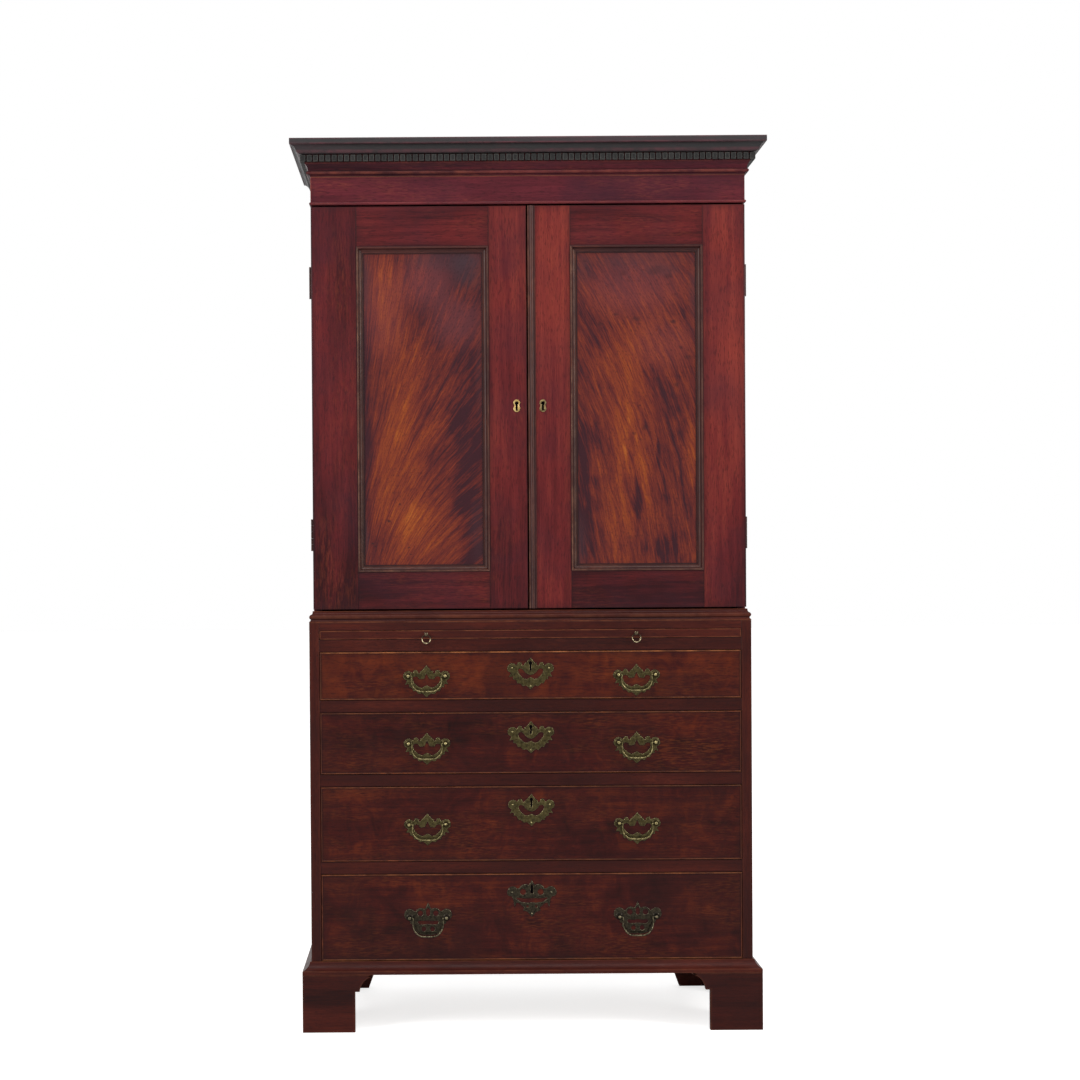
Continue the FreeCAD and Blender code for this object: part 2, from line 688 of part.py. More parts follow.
def cupboard_head():
    """Frieze with its bead, the frame that the cornice is planted on, the cornice and its dentils."""
    up = Vector(0, 0, 1)
    frieze = board("frieze_board", between(UPPER_SIDE), (DOOR_FRONT, CASE_FRONT), (BEAD_BOTTOM, FRIEZE_TOP))
    corners, outward = around_case(UPPER_SIDE, DOOR_FRONT, BEAD_BOTTOM, BACK)
    bead = bead_profile(dim("frieze_bead_height"), dim("frieze_bead_projection"))
    node("frieze", frieze, *mitred_moulding("frieze_bead", bead, corners, outward, up))
    thickness = "dims.cornice_frame_thickness"
    height = (FRIEZE_TOP, CORNICE_TOP)
    frame_inside = minus(UPPER_SIDE, thickness)
    frame_front = plus(DOOR_FRONT, thickness)
    boards = [
        board("cornice_frame_front", between(UPPER_SIDE), (DOOR_FRONT, frame_front), height),
        board("cornice_frame_back", between(frame_inside), (minus(BACK, thickness), BACK), height),
    ]
    for side, word in SIDES:
        boards.append(board(
            f"cornice_frame_{word}", on_side(side, frame_inside, UPPER_SIDE), (frame_front, BACK), height))
    node("cornice_frame", *boards)
    corners, outward = around_case(UPPER_SIDE, DOOR_FRONT, FRIEZE_TOP, BACK)
    node("cornice_moulding", *mitred_moulding("cornice_moulding", cornice_profile(), corners, outward, up))
    node("dentil_course", *dentils())


def dentil_gaps(start, length):
    """Low and high ends of the gaps along a run, as near to the pitch as whole dentils allow."""
    count = round(value(length) / dim("dentil_pitch"))
    pitch = f"({length} / {count})"
    ends = [plus(start, f"{index} * {pitch}") for index in range(count)]
    return [(minus(end, "dims.dentil_gap"), end) for end in ends]


def dentils():
    """Strips on the flat band of the cornice, in front and down both sides, notched into dentils."""
    band = plus(UPPER_SIDE, "dims.dentil_back_projection")
    band_front = minus(DOOR_FRONT, "dims.dentil_back_projection")
    low = plus(FRIEZE_TOP, "dims.cornice_hollow_height", "dims.cornice_bead_height",
               "dims.cornice_cove_height", "dims.dentil_margin")
    height = (low, plus(low, "dims.dentil_height"))
    edge = plus(band, "dims.dentil_projection")
    face = minus(band_front, "dims.dentil_projection")
    root = plus(band, "dims.dentil_root")
    root_face = minus(band_front, "dims.dentil_root")
    front = board("front_dentil_strip", between(edge), (face, band_front), height)
    # The first gap of a run lies before its first dentil, and the front strip has none there.
    gaps = dentil_gaps(f"(-{edge})", f"(2 * {edge} + dims.dentil_gap)")[1:]
    notches = [board(f"front_dentil_gap_{index}", gap, (face, root_face), height)
               for index, gap in enumerate(gaps, 1)]
    strips = [cut("front_dentils", front, *notches)]
    side_start = plus(band_front, "dims.dentil_gap")
    gaps = dentil_gaps(side_start, minus(BACK, band_front))
    for side, word in SIDES:
        strip = board(f"{word}_dentil_strip", on_side(side, band, edge), (band_front, BACK), height)
        notches = [board(f"{word}_dentil_gap_{index}", on_side(side, root, edge), gap, height)
                   for index, gap in enumerate(gaps, 1)]
        strips.append(cut(f"{word}_dentils", strip, *notches))
    return strips


def trays():
    """Linen trays on runners: open boxes with a low front."""
    count = int(dim("tray_count"))
    first = plus(LOWER_TOP, "dims.bottom_thickness", "dims.tray_first_height")
    outer = minus(UPPER_INSIDE, "dims.tray_gap")
    thick = "dims.tray_board_thickness"
    inner = minus(outer, thick)
    front = plus(CASE_FRONT, "dims.tray_front_gap")
    back = minus(BACK_INSIDE, "dims.tray_front_gap")
    runners = []
    boards = []
    for index in range(count):
        runner_low = plus(first, f"{index} * dims.tray_pitch")
        low = plus(runner_low, "dims.runner_height")
        high = plus(low, "dims.tray_height")
        floor_top = plus(low, "dims.tray_bottom_thickness")
        name = f"tray_{index + 1}"
        for side, word in SIDES:
            runners.append(board(
                f"{name}_runner_{word}",
                on_side(side, minus(UPPER_INSIDE, "dims.runner_width"), UPPER_INSIDE),
                (front, back), (runner_low, low)))
            boards.append(board(
                f"{name}_side_{word}", on_side(side, inner, outer), (front, back), (low, high)))
        boards.append(board(f"{name}_bottom", between(inner), (front, back), (low, floor_top)))
        boards.append(board(f"{name}_front", between(inner), (front, plus(front, thick)),
                            (floor_top, plus(low, "dims.tray_front_height"))))
        boards.append(board(f"{name}_back", between(inner), (minus(back, thick), back), (floor_top, high)))
    node("tray_runners", *runners)
    node("linen_trays", *boards)


# ---------------------------------------------------------------- hinges

HINGE_X = plus(UPPER_SIDE, "dims.hinge_knuckle_radius", "dims.hinge_end_gap")
HINGE_Y = plus(DOOR_BACK, "dims.door_back_gap / 2")
LEAF_EDGE = minus(HINGE_X, "dims.hinge_knuckle_radius", "dims.hinge_end_gap")
HINGE_LEVELS = (
    plus(DOOR_BOTTOM, "dims.hinge_end_distance"),
    minus(DOOR_TOP, "dims.hinge_end_distance", "dims.hinge_height"),
)
KNUCKLES = 5
KNUCKLE_PITCH = f"((dims.hinge_height + dims.hinge_end_gap) / {KNUCKLES})"
CASE_KNUCKLES = (0, 2, 4)
DOOR_KNUCKLES = (1, 3)


def hinge_leaf(name, side, low, faces, knuckles, bore_radius):
    """A flat leaf with its knuckles rolled round the pin."""
    pieces = [board(
        f"{name}_plate", on_side(side, minus(HINGE_X, "dims.hinge_leaf_width"), LEAF_EDGE), faces,
        (low, plus(low, "dims.hinge_height")))]
    axis_x = f"({side} * {HINGE_X})"
    for index in knuckles:
        start = plus(low, f"{index} * {KNUCKLE_PITCH}")
        end = minus(plus(start, KNUCKLE_PITCH), "dims.hinge_end_gap")
        pieces.append(board(f"{name}_web_{index}", on_side(side, LEAF_EDGE, HINGE_X), faces, (start, end)))
        pieces.append(rod(f"{name}_knuckle_{index}", "dims.hinge_knuckle_radius", minus(end, start),
                          (axis_x, HINGE_Y, start), Vector(0, 0, 1)))
    bore = rod(f"{name}_bore", bore_radius, "dims.hinge_height", (axis_x, HINGE_Y, low), Vector(0, 0, 1))
    return cut(name, fuse(f"{name}_leaf", *pieces), bore)


def hinges():
    """Butt hinges: leaves of the case and of the doors, by side, and the pins."""
    case_leaves = {LEFT: [], RIGHT: []}
    door_leaves = {LEFT: [], RIGHT: []}
    pins = []
    case_faces = (CASE_FRONT, plus(CASE_FRONT, "dims.hinge_leaf_thickness"))
    door_faces = (minus(DOOR_BACK, "dims.hinge_leaf_thickness"), DOOR_BACK)
    for side, word in SIDES:
        for index, low in enumerate(HINGE_LEVELS, 1):
            case_leaves[side].append(hinge_leaf(
                f"{word}_case_leaf_{index}", side, low, case_faces, CASE_KNUCKLES, "dims.hinge_pin_radius"))
            door_leaves[side].append(hinge_leaf(
                f"{word}_door_leaf_{index}", side, low, door_faces, DOOR_KNUCKLES,
                plus("dims.hinge_pin_radius", "dims.hinge_pin_clearance")))
            pins.append(rod(f"{word}_hinge_pin_{index}", "dims.hinge_pin_radius", "dims.hinge_height",
                            (f"({side} * {HINGE_X})", HINGE_Y, low), Vector(0, 0, 1)))
    node("case_hinge_leaves", *case_leaves[LEFT], *case_leaves[RIGHT])
    node("hinge_pins", *pins)
    return case_leaves, door_leaves


# ---------------------------------------------------------------- keyholes, plates and locks

def keyhole_edges(scale=1.0):
    """A round hole over a straight slot, about the middle of the round hole."""
    radius = dim("keyhole_radius") * scale
    half_slot = radius * 0.45
    shoulder = -math.sqrt(radius ** 2 - half_slot ** 2)
    foot = -dim("keyhole_length") * scale
    start = (half_slot, shoulder)
    return outline(
        start, (half_slot, foot), (-half_slot, foot), (-half_slot, shoulder), ((0, radius), start))


def symmetric(*right_half):
    """A closed outline from its right half, which runs from the top to the bottom."""
    places = [step[-1] if isinstance(step[0], tuple) else step for step in right_half]
    left_half = []
    for index in range(len(right_half) - 1, 0, -1):
        step = right_half[index]
        end = (-places[index - 1][0], places[index - 1][1])
        if isinstance(step[0], tuple):
            through = (-step[0][0], step[0][1])
            left_half.append((through, end))
        else:
            left_half.append(end)
    return outline(*(tuple(right_half) + tuple(left_half)))


def scaled(points, across, up):
    """An outline given in shares of two sizes: post spacings' halves across and plate heights up."""
    result = []
    for step in points:
        if isinstance(step[0], tuple):
            result.append(tuple((x * across, y * up) for x, y in step))
        else:
            result.append((step[0] * across, step[1] * up))
    return result


# Right halves, from the top point to the bottom point: 1 across is a post, 1 up is the plate's height.
SCROLL_PLATE = (
    (0, 0.333), (0.09, 0.261), (0.23, 0.242), ((0.30, 0.176), (0.39, 0.209)), ((0.59, 0.268), (0.70, 0.157)),
    ((0.75, 0.118), (0.84, 0.124)), ((1.28, 0), (1.07, -0.152)), (1.15, -0.261), (0.93, -0.268),
    (0.86, -0.353), (0.64, -0.471), ((0.50, -0.431), (0.39, -0.458)), (0.23, -0.549), (0, -0.667),
)
SCROLL_PIERCING = ((0, 0.02), (0.18, 0.10), (0.55, 0.03), (0.42, -0.13), (0.22, -0.18), (0, -0.33))
SCROLL_SIDE_PIERCING = ((0.30, 0.04), (0.62, 0.05), (0.66, -0.08), (0.40, -0.30), (0.28, -0.20))
CROWN_PLATE = (
    (0, 0.36), (0.10, 0.27), ((0.30, 0.31), (0.46, 0.24)), ((0.64, 0.27), (0.72, 0.14)), (1.05, 0.16),
    ((1.32, 0.02), (1.05, -0.14)), (0.90, -0.12), (0.86, -0.27), ((0.62, -0.33), (0.48, -0.44)),
    ((0.32, -0.42), (0.20, -0.50)), (0, -0.64),
)
CROWN_PIERCING = ((0, -0.02), (0.12, -0.05), (0.52, -0.03), (0.55, -0.14), (0.20, -0.16), (0, -0.20))
CROWN_ROUND = (0.44, 0.11)


def crown_holes(across, up):
    """The pair of round piercings of a bottom drawer's plate."""
    axis = Vector(0, 0, 1)
    radius = dim("crown_hole_radius")
    middles = [point(side * CROWN_ROUND[0] * across, CROWN_ROUND[1] * up) for side in (LEFT, RIGHT)]
    return [Part.Circle(middle, axis, radius) for middle in middles]


def handle_plate(name, deep):
    """Pierced back plate of a handle, before its posts' holes are drilled."""
    half = dim("post_spacing") / 2
    height = dim("deep_plate_height") if deep else dim("plate_height")
    shape, piercing = (CROWN_PLATE, CROWN_PIERCING) if deep else (SCROLL_PLATE, SCROLL_PIERCING)
    edges = symmetric(*scaled(shape, half, height))
    edges += symmetric(*scaled(piercing, half, height))
    if deep:
        edges += crown_holes(half, height)
    return padded(name, edges, "dims.plate_thickness")


def key_plate(name, deep):
    """Pierced plate round a drawer's keyhole."""
    half = dim("post_spacing") / 2
    height = dim("deep_plate_height") if deep else dim("plate_height")
    edges = symmetric(*scaled(CROWN_PLATE if deep else SCROLL_PLATE, half, height))
    if deep:
        edges += crown_holes(half, height)
    else:
        side_piercing = scaled(SCROLL_SIDE_PIERCING, half, height)
        edges += outline(*side_piercing) + outline(*turned(side_piercing, RIGHT))
    return padded(name, edges + keyhole_edges(), "dims.plate_thickness")


def keyhole_tool(name, thickness):
    """The keyhole through a board that is this thick, a little longer at both ends."""
    return padded(name, keyhole_edges(), plus(thickness, "2 * dims.drawer_gap"))


ESCUTCHEON_ARC = math.radians(40)  # how far past its widest place each round end goes on


def door_escutcheon(name):
    """Small plate round a door's keyhole, round at both ends and waisted between them."""
    half = dim("escutcheon_width") / 2
    top = dim("escutcheon_rise")
    foot = top - dim("escutcheon_height")
    waist = half * math.cos(ESCUTCHEON_ARC)
    drop = half * math.sin(ESCUTCHEON_ARC)
    edges = symmetric(
        (0, top),
        ((half, top - half), (waist, top - half - drop)),
        (waist, foot + half + drop),
        ((half, foot + half), (0, foot)),
    )
    return padded(name, edges + keyhole_edges(), "dims.plate_thickness")


# ---------------------------------------------------------------- doors

def door(side, word, leaves):
    """A framed door: stiles, rails, a panel in grooves, a moulding round it, and a lock."""
    name = f"{word}_door"
    faces = (DOOR_FRONT, DOOR_BACK)
    height = (DOOR_BOTTOM, DOOR_TOP)
    meeting_edge = MEETING_EDGES[side]
    opening_inner = plus(meeting_edge, f"dims.{word}_meeting_stile_width")
    opening_outer = minus(UPPER_SIDE, f"dims.{word}_hinge_stile_width")
    opening_low = plus(DOOR_BOTTOM, "dims.bottom_rail_width")
    opening_high = minus(DOOR_TOP, "dims.top_rail_width")
    panel_face = plus(DOOR_FRONT, "dims.panel_recess")
    tongue = "dims.panel_tongue"
    panel = node(f"{name}_panel", board(
        f"{name}_panel", on_side(side, minus(opening_inner, tongue), plus(opening_outer, tongue)),
        (panel_face, plus(panel_face, "dims.panel_thickness")),
        (minus(opening_low, tongue), plus(opening_high, tongue))))
    keyhole_x = f"({side} * ({meeting_edge} + dims.{word}_keyhole_inset))"
    keyhole_z = plus(DOOR_BOTTOM, "dims.door_keyhole_height")
    keyhole = place(keyhole_tool(f"{name}_keyhole", "dims.door_thickness"), keyhole_x,
                    plus(DOOR_BACK, "dims.drawer_gap"), keyhole_z)
    hinge_stile = board(
        f"{name}_hinge_stile_board", on_side(side, opening_outer, UPPER_SIDE), faces, height)
    meeting_stile = board(
        f"{name}_meeting_stile_board", on_side(side, meeting_edge, opening_inner), faces, height)
    across = on_side(side, opening_inner, opening_outer)
    top_rail = board(f"{name}_top_rail_board", across, faces, (opening_high, DOOR_TOP))
    bottom_rail = board(f"{name}_bottom_rail_board", across, faces, (DOOR_BOTTOM, opening_low))
    node(f"{name}_frame",
         cut(f"{name}_hinge_stile", hinge_stile, panel, *leaves),
         cut(f"{name}_meeting_stile", meeting_stile, panel, keyhole),
         cut(f"{name}_top_rail", top_rail, panel),
         cut(f"{name}_bottom_rail", bottom_rail, panel))
    low_x, high_x = sorted(value(edge) for edge in across)
    low_z, high_z, face_y = map(value, (opening_low, opening_high, panel_face))
    corners = [Vector(x, face_y, z) for x, z in
               ((low_x, low_z), (high_x, low_z), (high_x, high_z), (low_x, high_z))]
    inward = [Vector(0, 0, 1), Vector(-1, 0, 0), Vector(0, 0, -1), Vector(1, 0, 0)]
    node(f"{name}_moulding", *mitred_moulding(
        f"{name}_moulding", panel_moulding_profile(), corners, inward, Vector(0, -1, 0), closed=True))
    lock = board(
        f"{name}_lock_case", on_side(side, meeting_edge, plus(meeting_edge, "dims.lock_width")),
        (DOOR_BACK, plus(DOOR_BACK, "dims.lock_thickness")),
        (minus(keyhole_z, "dims.lock_height / 2"), plus(keyhole_z, "dims.lock_height / 2")))
    node(f"{name}_lock", lock,
         place(door_escutcheon(f"{name}_escutcheon"), keyhole_x, DOOR_FRONT, keyhole_z))
    node(f"{name}_hinge_leaves", *leaves)


def astragal():
    """Bead planted down the meeting edge of the right door."""
    start = Vector(value(MEETING_EDGES[RIGHT]), value(DOOR_FRONT), value(DOOR_BOTTOM))
    node("right_door_astragal", feature("right_door_astragal", straight_moulding(
        astragal_profile(), start, Vector(0, 0, 1), Vector(1, 0, 0), Vector(0, -1, 0), dim("door_height"))))


# ---------------------------------------------------------------- handles

def bail_shape(drop):
    """A bail hanging from its pivot: two arms, a rounded foot, and a pin out of each arm's top."""
    half = dim("bail_arm_spacing") / 2
    bend = min(dim("bail_corner_radius"), 0.9 * half, 0.9 * drop)
    diagonal = bend * (1 - math.sqrt(0.5))
    places = [Vector(x, 0, z) for x, z in (
        (-half, 0), (-half, bend - drop), (bend - half, -drop),
        (half - bend, -drop), (half, bend - drop), (half, 0))]
    left_bend = Vector(diagonal - half, 0, diagonal - drop)
    right_bend = Vector(half - diagonal, 0, diagonal - drop)
    path = Part.Wire([
        Part.LineSegment(places[0], places[1]).toShape(),
        Part.Arc(places[1], left_bend, places[2]).toShape(),
        Part.LineSegment(places[2], places[3]).toShape(),
        Part.Arc(places[3], right_bend, places[4]).toShape(),
        Part.LineSegment(places[4], places[5]).toShape(),
    ])
    section = Part.Wire(Part.makeCircle(dim("bail_radius"), places[0], Vector(0, 0, 1)))
    rod_shape = path.makePipeShell([section], True, False)
    tip = dim("post_spacing") / 2 - dim("post_head_radius") + dim("bail_pin_length")
    pieces = []
    for side in (LEFT, RIGHT):
        top = Vector(side * half, 0, 0)
        pieces.append(Part.makeSphere(dim("bail_radius"), top))
        pieces.append(Part.makeCylinder(dim("bail_pin_radius"), tip - half, top, Vector(side, 0, 0)))
    return rod_shape.fuse(pieces).removeSplitter()


def post_shape():
    """A round-headed post along Y: head at the origin, shank behind it, and the bore for a bail's pin."""
    head = dim("post_head_radius")
    length = dim("post_reach") + dim("drawer_front_thickness") + dim("post_nut_thickness")
    shank = Part.makeCylinder(dim("post_shank_radius"), length, Vector(), Vector(0, 1, 0))
    bore_end = dim("bail_pin_length") + dim("bail_pin_clearance") - head
    bore = Part.makeCylinder(dim("bail_pin_radius") + dim("bail_pin_clearance"), head + bore_end,
                             Vector(-head, 0, 0), Vector(1, 0, 0))
    return Part.makeSphere(head).fuse(shank).removeSplitter().cut(bore)


def posts(name, x, level_z, mirror):
    """A post, its nut, and the hole for both. The bore opens to the left, or to the right when mirrored."""
    shape = post_shape()
    if mirror:
        shape = shape.mirror(Vector(), Vector(1, 0, 0))
    pivot_y = minus(LOWER_FRONT, "dims.post_reach")
    post = place(feature(name, shape), x, pivot_y, level_z)
    back = Vector(0, 1, 0)
    nut = rod(f"{name}_nut_blank", "dims.post_nut_radius", "dims.post_nut_thickness",
              (x, DRAWER_INSIDE, level_z), back)
    hole_length = plus("dims.post_reach", "dims.drawer_front_thickness", "dims.post_nut_thickness")
    hole = rod(f"{name}_hole", "dims.post_shank_radius", hole_length, (x, pivot_y, level_z), back)
    return post, cut(f"{name}_nut", nut, hole), hole


# ---------------------------------------------------------------- drawers

def drawer(number):
    """A drawer: front with cockbeads, dovetailed box, brasses and two bails."""
    name = f"drawer_{number}"
    deep = number == DRAWERS[-1]
    low = plus(DRAWER_BOTTOM[number], "dims.drawer_gap")
    high = minus(plus(DRAWER_BOTTOM[number], f"dims.drawer_{number}_opening"), "dims.drawer_gap")
    middle = f"(({low} + {high}) / 2)"
    outer = minus(LOWER_INSIDE, "dims.drawer_gap")
    bead = "dims.cockbead_thickness"
    face = (LOWER_FRONT, DRAWER_INSIDE)
    brasses = []
    holes = []
    drop = dim("deep_bail_drop") if deep else dim("bail_drop")
    for side, word in SIDES:
        handle_x = f"({side} * dims.{word}_handle_offset)"
        plate = place(handle_plate(f"{name}_{word}_plate_blank", deep), handle_x, LOWER_FRONT, middle)
        plate_holes = []
        for end, end_word in SIDES:
            post_x = plus(handle_x, f"{end} * dims.post_spacing / 2")
            post, nut, hole = posts(f"{name}_{word}_post_{end_word}", post_x, middle, end == LEFT)
            brasses += [post, nut]
            plate_holes.append(hole)
        brasses.append(cut(f"{name}_{word}_plate", plate, *plate_holes))
        holes += plate_holes
        node(f"{name}_bail_{word}", place(
            feature(f"{name}_bail_{word}", bail_shape(drop)),
            handle_x, minus(LOWER_FRONT, "dims.post_reach"), middle))
    keyhole_z = minus(high, f"dims.drawer_{number}_keyhole_drop")
    brasses.append(place(key_plate(f"{name}_key_plate", deep), "0", LOWER_FRONT, keyhole_z))
    keyhole = place(keyhole_tool(f"{name}_keyhole", "dims.drawer_front_thickness"), "0",
                    plus(DRAWER_INSIDE, "dims.drawer_gap"), keyhole_z)
    brasses.append(board(
        f"{name}_lock_case", between("(dims.lock_width / 2)"),
        (DRAWER_INSIDE, plus(DRAWER_INSIDE, "dims.lock_thickness")),
        (minus(keyhole_z, "dims.lock_height / 2"), plus(keyhole_z, "dims.lock_height / 2"))))
    node(f"{name}_brasses", *brasses)
    front = board(
        f"{name}_front_board", between(minus(outer, bead)), face, (plus(low, bead), minus(high, bead)))
    bead_face = (minus(LOWER_FRONT, "dims.cockbead_rise"), DRAWER_INSIDE)
    beads = [
        board(f"{name}_bead_top", between(outer), bead_face, (minus(high, bead), high)),
        board(f"{name}_bead_bottom", between(outer), bead_face, (low, plus(low, bead))),
    ]
    back_y = minus(BACK_INSIDE, "dims.drawer_back_gap")
    side_top = minus(high, "dims.drawer_side_drop")
    inner = minus(outer, "dims.drawer_side_thickness")
    floor_low = plus(low, "dims.drawer_bottom_height")
    floor_top = plus(floor_low, "dims.drawer_bottom_thickness")
    box = [
        board(f"{name}_bottom", between(inner), (DRAWER_INSIDE, back_y), (floor_low, floor_top)),
        board(f"{name}_back", between(inner), (minus(back_y, "dims.drawer_side_thickness"), back_y),
              (floor_top, minus(side_top, "dims.drawer_back_drop"))),
    ]
    for side, word in SIDES:
        beads.append(board(f"{name}_bead_{word}", on_side(side, minus(outer, bead), outer), bead_face,
                           (plus(low, bead), minus(high, bead))))
        box.append(board(f"{name}_side_{word}", on_side(side, inner, outer), (DRAWER_INSIDE, back_y),
                         (low, side_top)))
    node(f"{name}_front", cut(f"{name}_front_drilled", front, keyhole, *holes), *beads)
    node(f"{name}_box", *box)


def brushing_slide():
    """A flat shelf that pulls out over the drawers, with two small ring pulls."""
    outer = minus(LOWER_INSIDE, "dims.slide_gap")
    height = (plus(SLIDE_BOTTOM, "dims.slide_gap"), minus(SLIDE_TOP, "dims.slide_gap"))
    middle = f"(({SLIDE_BOTTOM} + {SLIDE_TOP}) / 2)"
    clamp_back = plus(LOWER_FRONT, "dims.slide_clamp_width")
    clamp = board("slide_clamp", between(outer), (LOWER_FRONT, clamp_back), height)
    shelf_depth = (clamp_back, plus(LOWER_FRONT, "dims.slide_depth"))
    shelf = board("slide_shelf", between(outer), shelf_depth, height)
    pivot_y = minus(LOWER_FRONT, "dims.ring_reach")
    eyes = []
    shanks = []
    for side, word in SIDES:
        ring_x = f"({side} * dims.{word}_handle_offset)"
        ring = doc.addObject("Part::Torus", f"slide_ring_{word}")
        ring.setExpression("Radius1", "dims.ring_radius")
        ring.setExpression("Radius2", "dims.ring_wire_radius")
        ring.Placement = Placement(Vector(), Rotation(Vector(1, 0, 0), 90))
        node(f"slide_ring_{word}", place(ring, ring_x, pivot_y, minus(middle, "dims.ring_radius")))
        eye = rod(f"slide_eye_{word}_ring", "dims.eye_radius", "dims.eye_thickness",
                  (minus(ring_x, "dims.eye_thickness / 2"), pivot_y, middle), Vector(1, 0, 0))
        shank = rod(
            f"slide_eye_{word}_shank", "dims.eye_shank_radius", plus("dims.ring_reach", "dims.eye_depth"),
            (ring_x, pivot_y, middle), Vector(0, 1, 0))
        hole = rod(f"slide_eye_{word}_hole", plus("dims.ring_wire_radius", "dims.ring_clearance"),
                   "dims.eye_thickness", (minus(ring_x, "dims.eye_thickness / 2"), pivot_y, middle),
                   Vector(1, 0, 0))
        eyes.append(cut(f"slide_eye_{word}", fuse(f"slide_eye_{word}_blank", eye, shank), hole))
        shanks.append(shank)
    node("slide_board", cut("slide_clamp_drilled", clamp, *shanks), shelf)
    node("slide_ring_eyes", *eyes)


# ---------------------------------------------------------------- the whole press

chest_case()
chest_mouldings()
feet()
case_leaves, door_leaves = hinges()
cupboard_case(case_leaves)
cupboard_head()
trays()
for side, word in SIDES:
    door(side, word, door_leaves[side])
astragal()
for number in DRAWERS:
    drawer(number)
brushing_slide()

doc.recompute()
for item in doc.Objects:
    if "Invalid" in item.State or "Error" in item.State:
        raise RuntimeError(f"{item.Label} failed: {item.State}")
os.makedirs("parts", exist_ok=True)
for item in nodes:
    if item.Shape.isNull() or not item.Shape.isValid() or not item.Shape.Solids:
        raise RuntimeError(f"{item.Label} has no valid shape")
for item in nodes:
    item.Shape.exportStep(f"parts/{item.Label}.step")
print(len(nodes), "nodes,", sum(len(item.Shape.Solids) for item in nodes), "solids")
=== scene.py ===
import json
import math

import bmesh
import bpy
from mathutils import Matrix, Vector

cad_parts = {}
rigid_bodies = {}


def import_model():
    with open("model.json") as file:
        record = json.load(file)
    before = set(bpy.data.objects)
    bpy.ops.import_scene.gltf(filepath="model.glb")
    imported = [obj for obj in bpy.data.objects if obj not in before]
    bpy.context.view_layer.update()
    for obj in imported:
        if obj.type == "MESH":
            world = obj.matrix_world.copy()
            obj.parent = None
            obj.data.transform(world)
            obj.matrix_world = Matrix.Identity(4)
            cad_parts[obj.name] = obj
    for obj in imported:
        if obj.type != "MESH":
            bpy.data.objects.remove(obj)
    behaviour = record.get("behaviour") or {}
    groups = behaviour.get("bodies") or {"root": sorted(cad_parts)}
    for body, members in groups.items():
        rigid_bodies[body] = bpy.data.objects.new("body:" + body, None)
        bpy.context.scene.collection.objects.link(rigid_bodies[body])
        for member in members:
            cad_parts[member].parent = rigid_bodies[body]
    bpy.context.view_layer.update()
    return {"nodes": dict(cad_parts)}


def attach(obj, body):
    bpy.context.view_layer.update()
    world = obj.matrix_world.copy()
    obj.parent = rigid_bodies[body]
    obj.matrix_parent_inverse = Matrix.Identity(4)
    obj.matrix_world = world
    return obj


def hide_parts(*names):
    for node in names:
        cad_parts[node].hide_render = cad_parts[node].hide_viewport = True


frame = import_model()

# A mahogany linen press: a cupboard with two panelled doors on a chest of four drawers.
# Shapes are worked out in millimetres and scaled to metres when a piece is finished.
MM = 0.001

# ---------------------------------------------------------------- faces and levels, in millimetres

BACK = 296
DOOR_FRONT = -249
DOOR_BACK = -226
CASE_FRONT = -225
CHEST_FRONT = -259
DRAWER_INSIDE = -239
PANEL_FACE = -240
RAIL_BACK = -189
SLIDE_BACK = 171
CHEST_TOP_BACK = 284
CUPBOARD = 517        # half of the cupboard's width
CUPBOARD_INSIDE = 497
CHEST = 527           # half of the chest's width
CHEST_INSIDE = 503
FOOT_REACH = 21       # of the feet and the base moulding past the chest
FOOT_BOARD = 22
FEET_TOP = 137
CHEST_TOP = 975
WAIST_TOP = 1003
DOOR_FOOT = 1007
DOOR_HEAD = 1966
BEAD_FOOT = 1970
FRIEZE_TOP = 2037
SLIDE_LOW = 935
SLIDE_HIGH = 957
SLIDE_AIR = 0.8
RING_PIVOT = (-268, 946)                                        # back to front, and up
DRAWERS = {1: (790, 906), 2: (613, 761), 3: (404, 584), 4: (167, 375)}
KEYHOLE_DROP = {1: 28, 2: 35, 3: 32, 4: 31}                     # from the head of each front
PIVOTS = {1: 848, 2: 687, 3: 494, 4: 271}                       # of the handles' bails
PIVOT_Y = -274
HANDLES = {"left": -248, "right": 252.5}
POST = 44                                                       # from a handle's middle
OPENINGS = {"left": (-409, -94.25), "right": (100.25, 416)}     # of the door frames
OPENING_LOW, OPENING_HIGH = 1096, 1871
MEETING = {"left": -4.25, "right": -0.75}
DOOR_KEYHOLES = {"left": -28.75, "right": 33.75}
DOOR_KEYHOLE_Z = 1496
LOCK_DEPTH = 11
PLATE = 1.6           # thickness of the brass plates
RIM_THICKNESS = 0.3
SIDES = ((-1, "left"), (1, "right"))

X, Y, Z = Vector((1, 0, 0)), Vector((0, 1, 0)), Vector((0, 0, 1))


# ---------------------------------------------------------------- nodes of a material

def linear(code):
    """A colour written as sRGB hex, in the linear values that the shaders use."""
    channels = [int(code[i:i + 2], 16) / 255 for i in (1, 3, 5)]
    return tuple(c / 12.92 if c <= 0.04045 else ((c + 0.055) / 1.055) ** 2.4 for c in channels) + (1,)


def per(size):
    """The scale of a pattern whose features are this many millimetres wide."""
    return 1 / (size * MM)


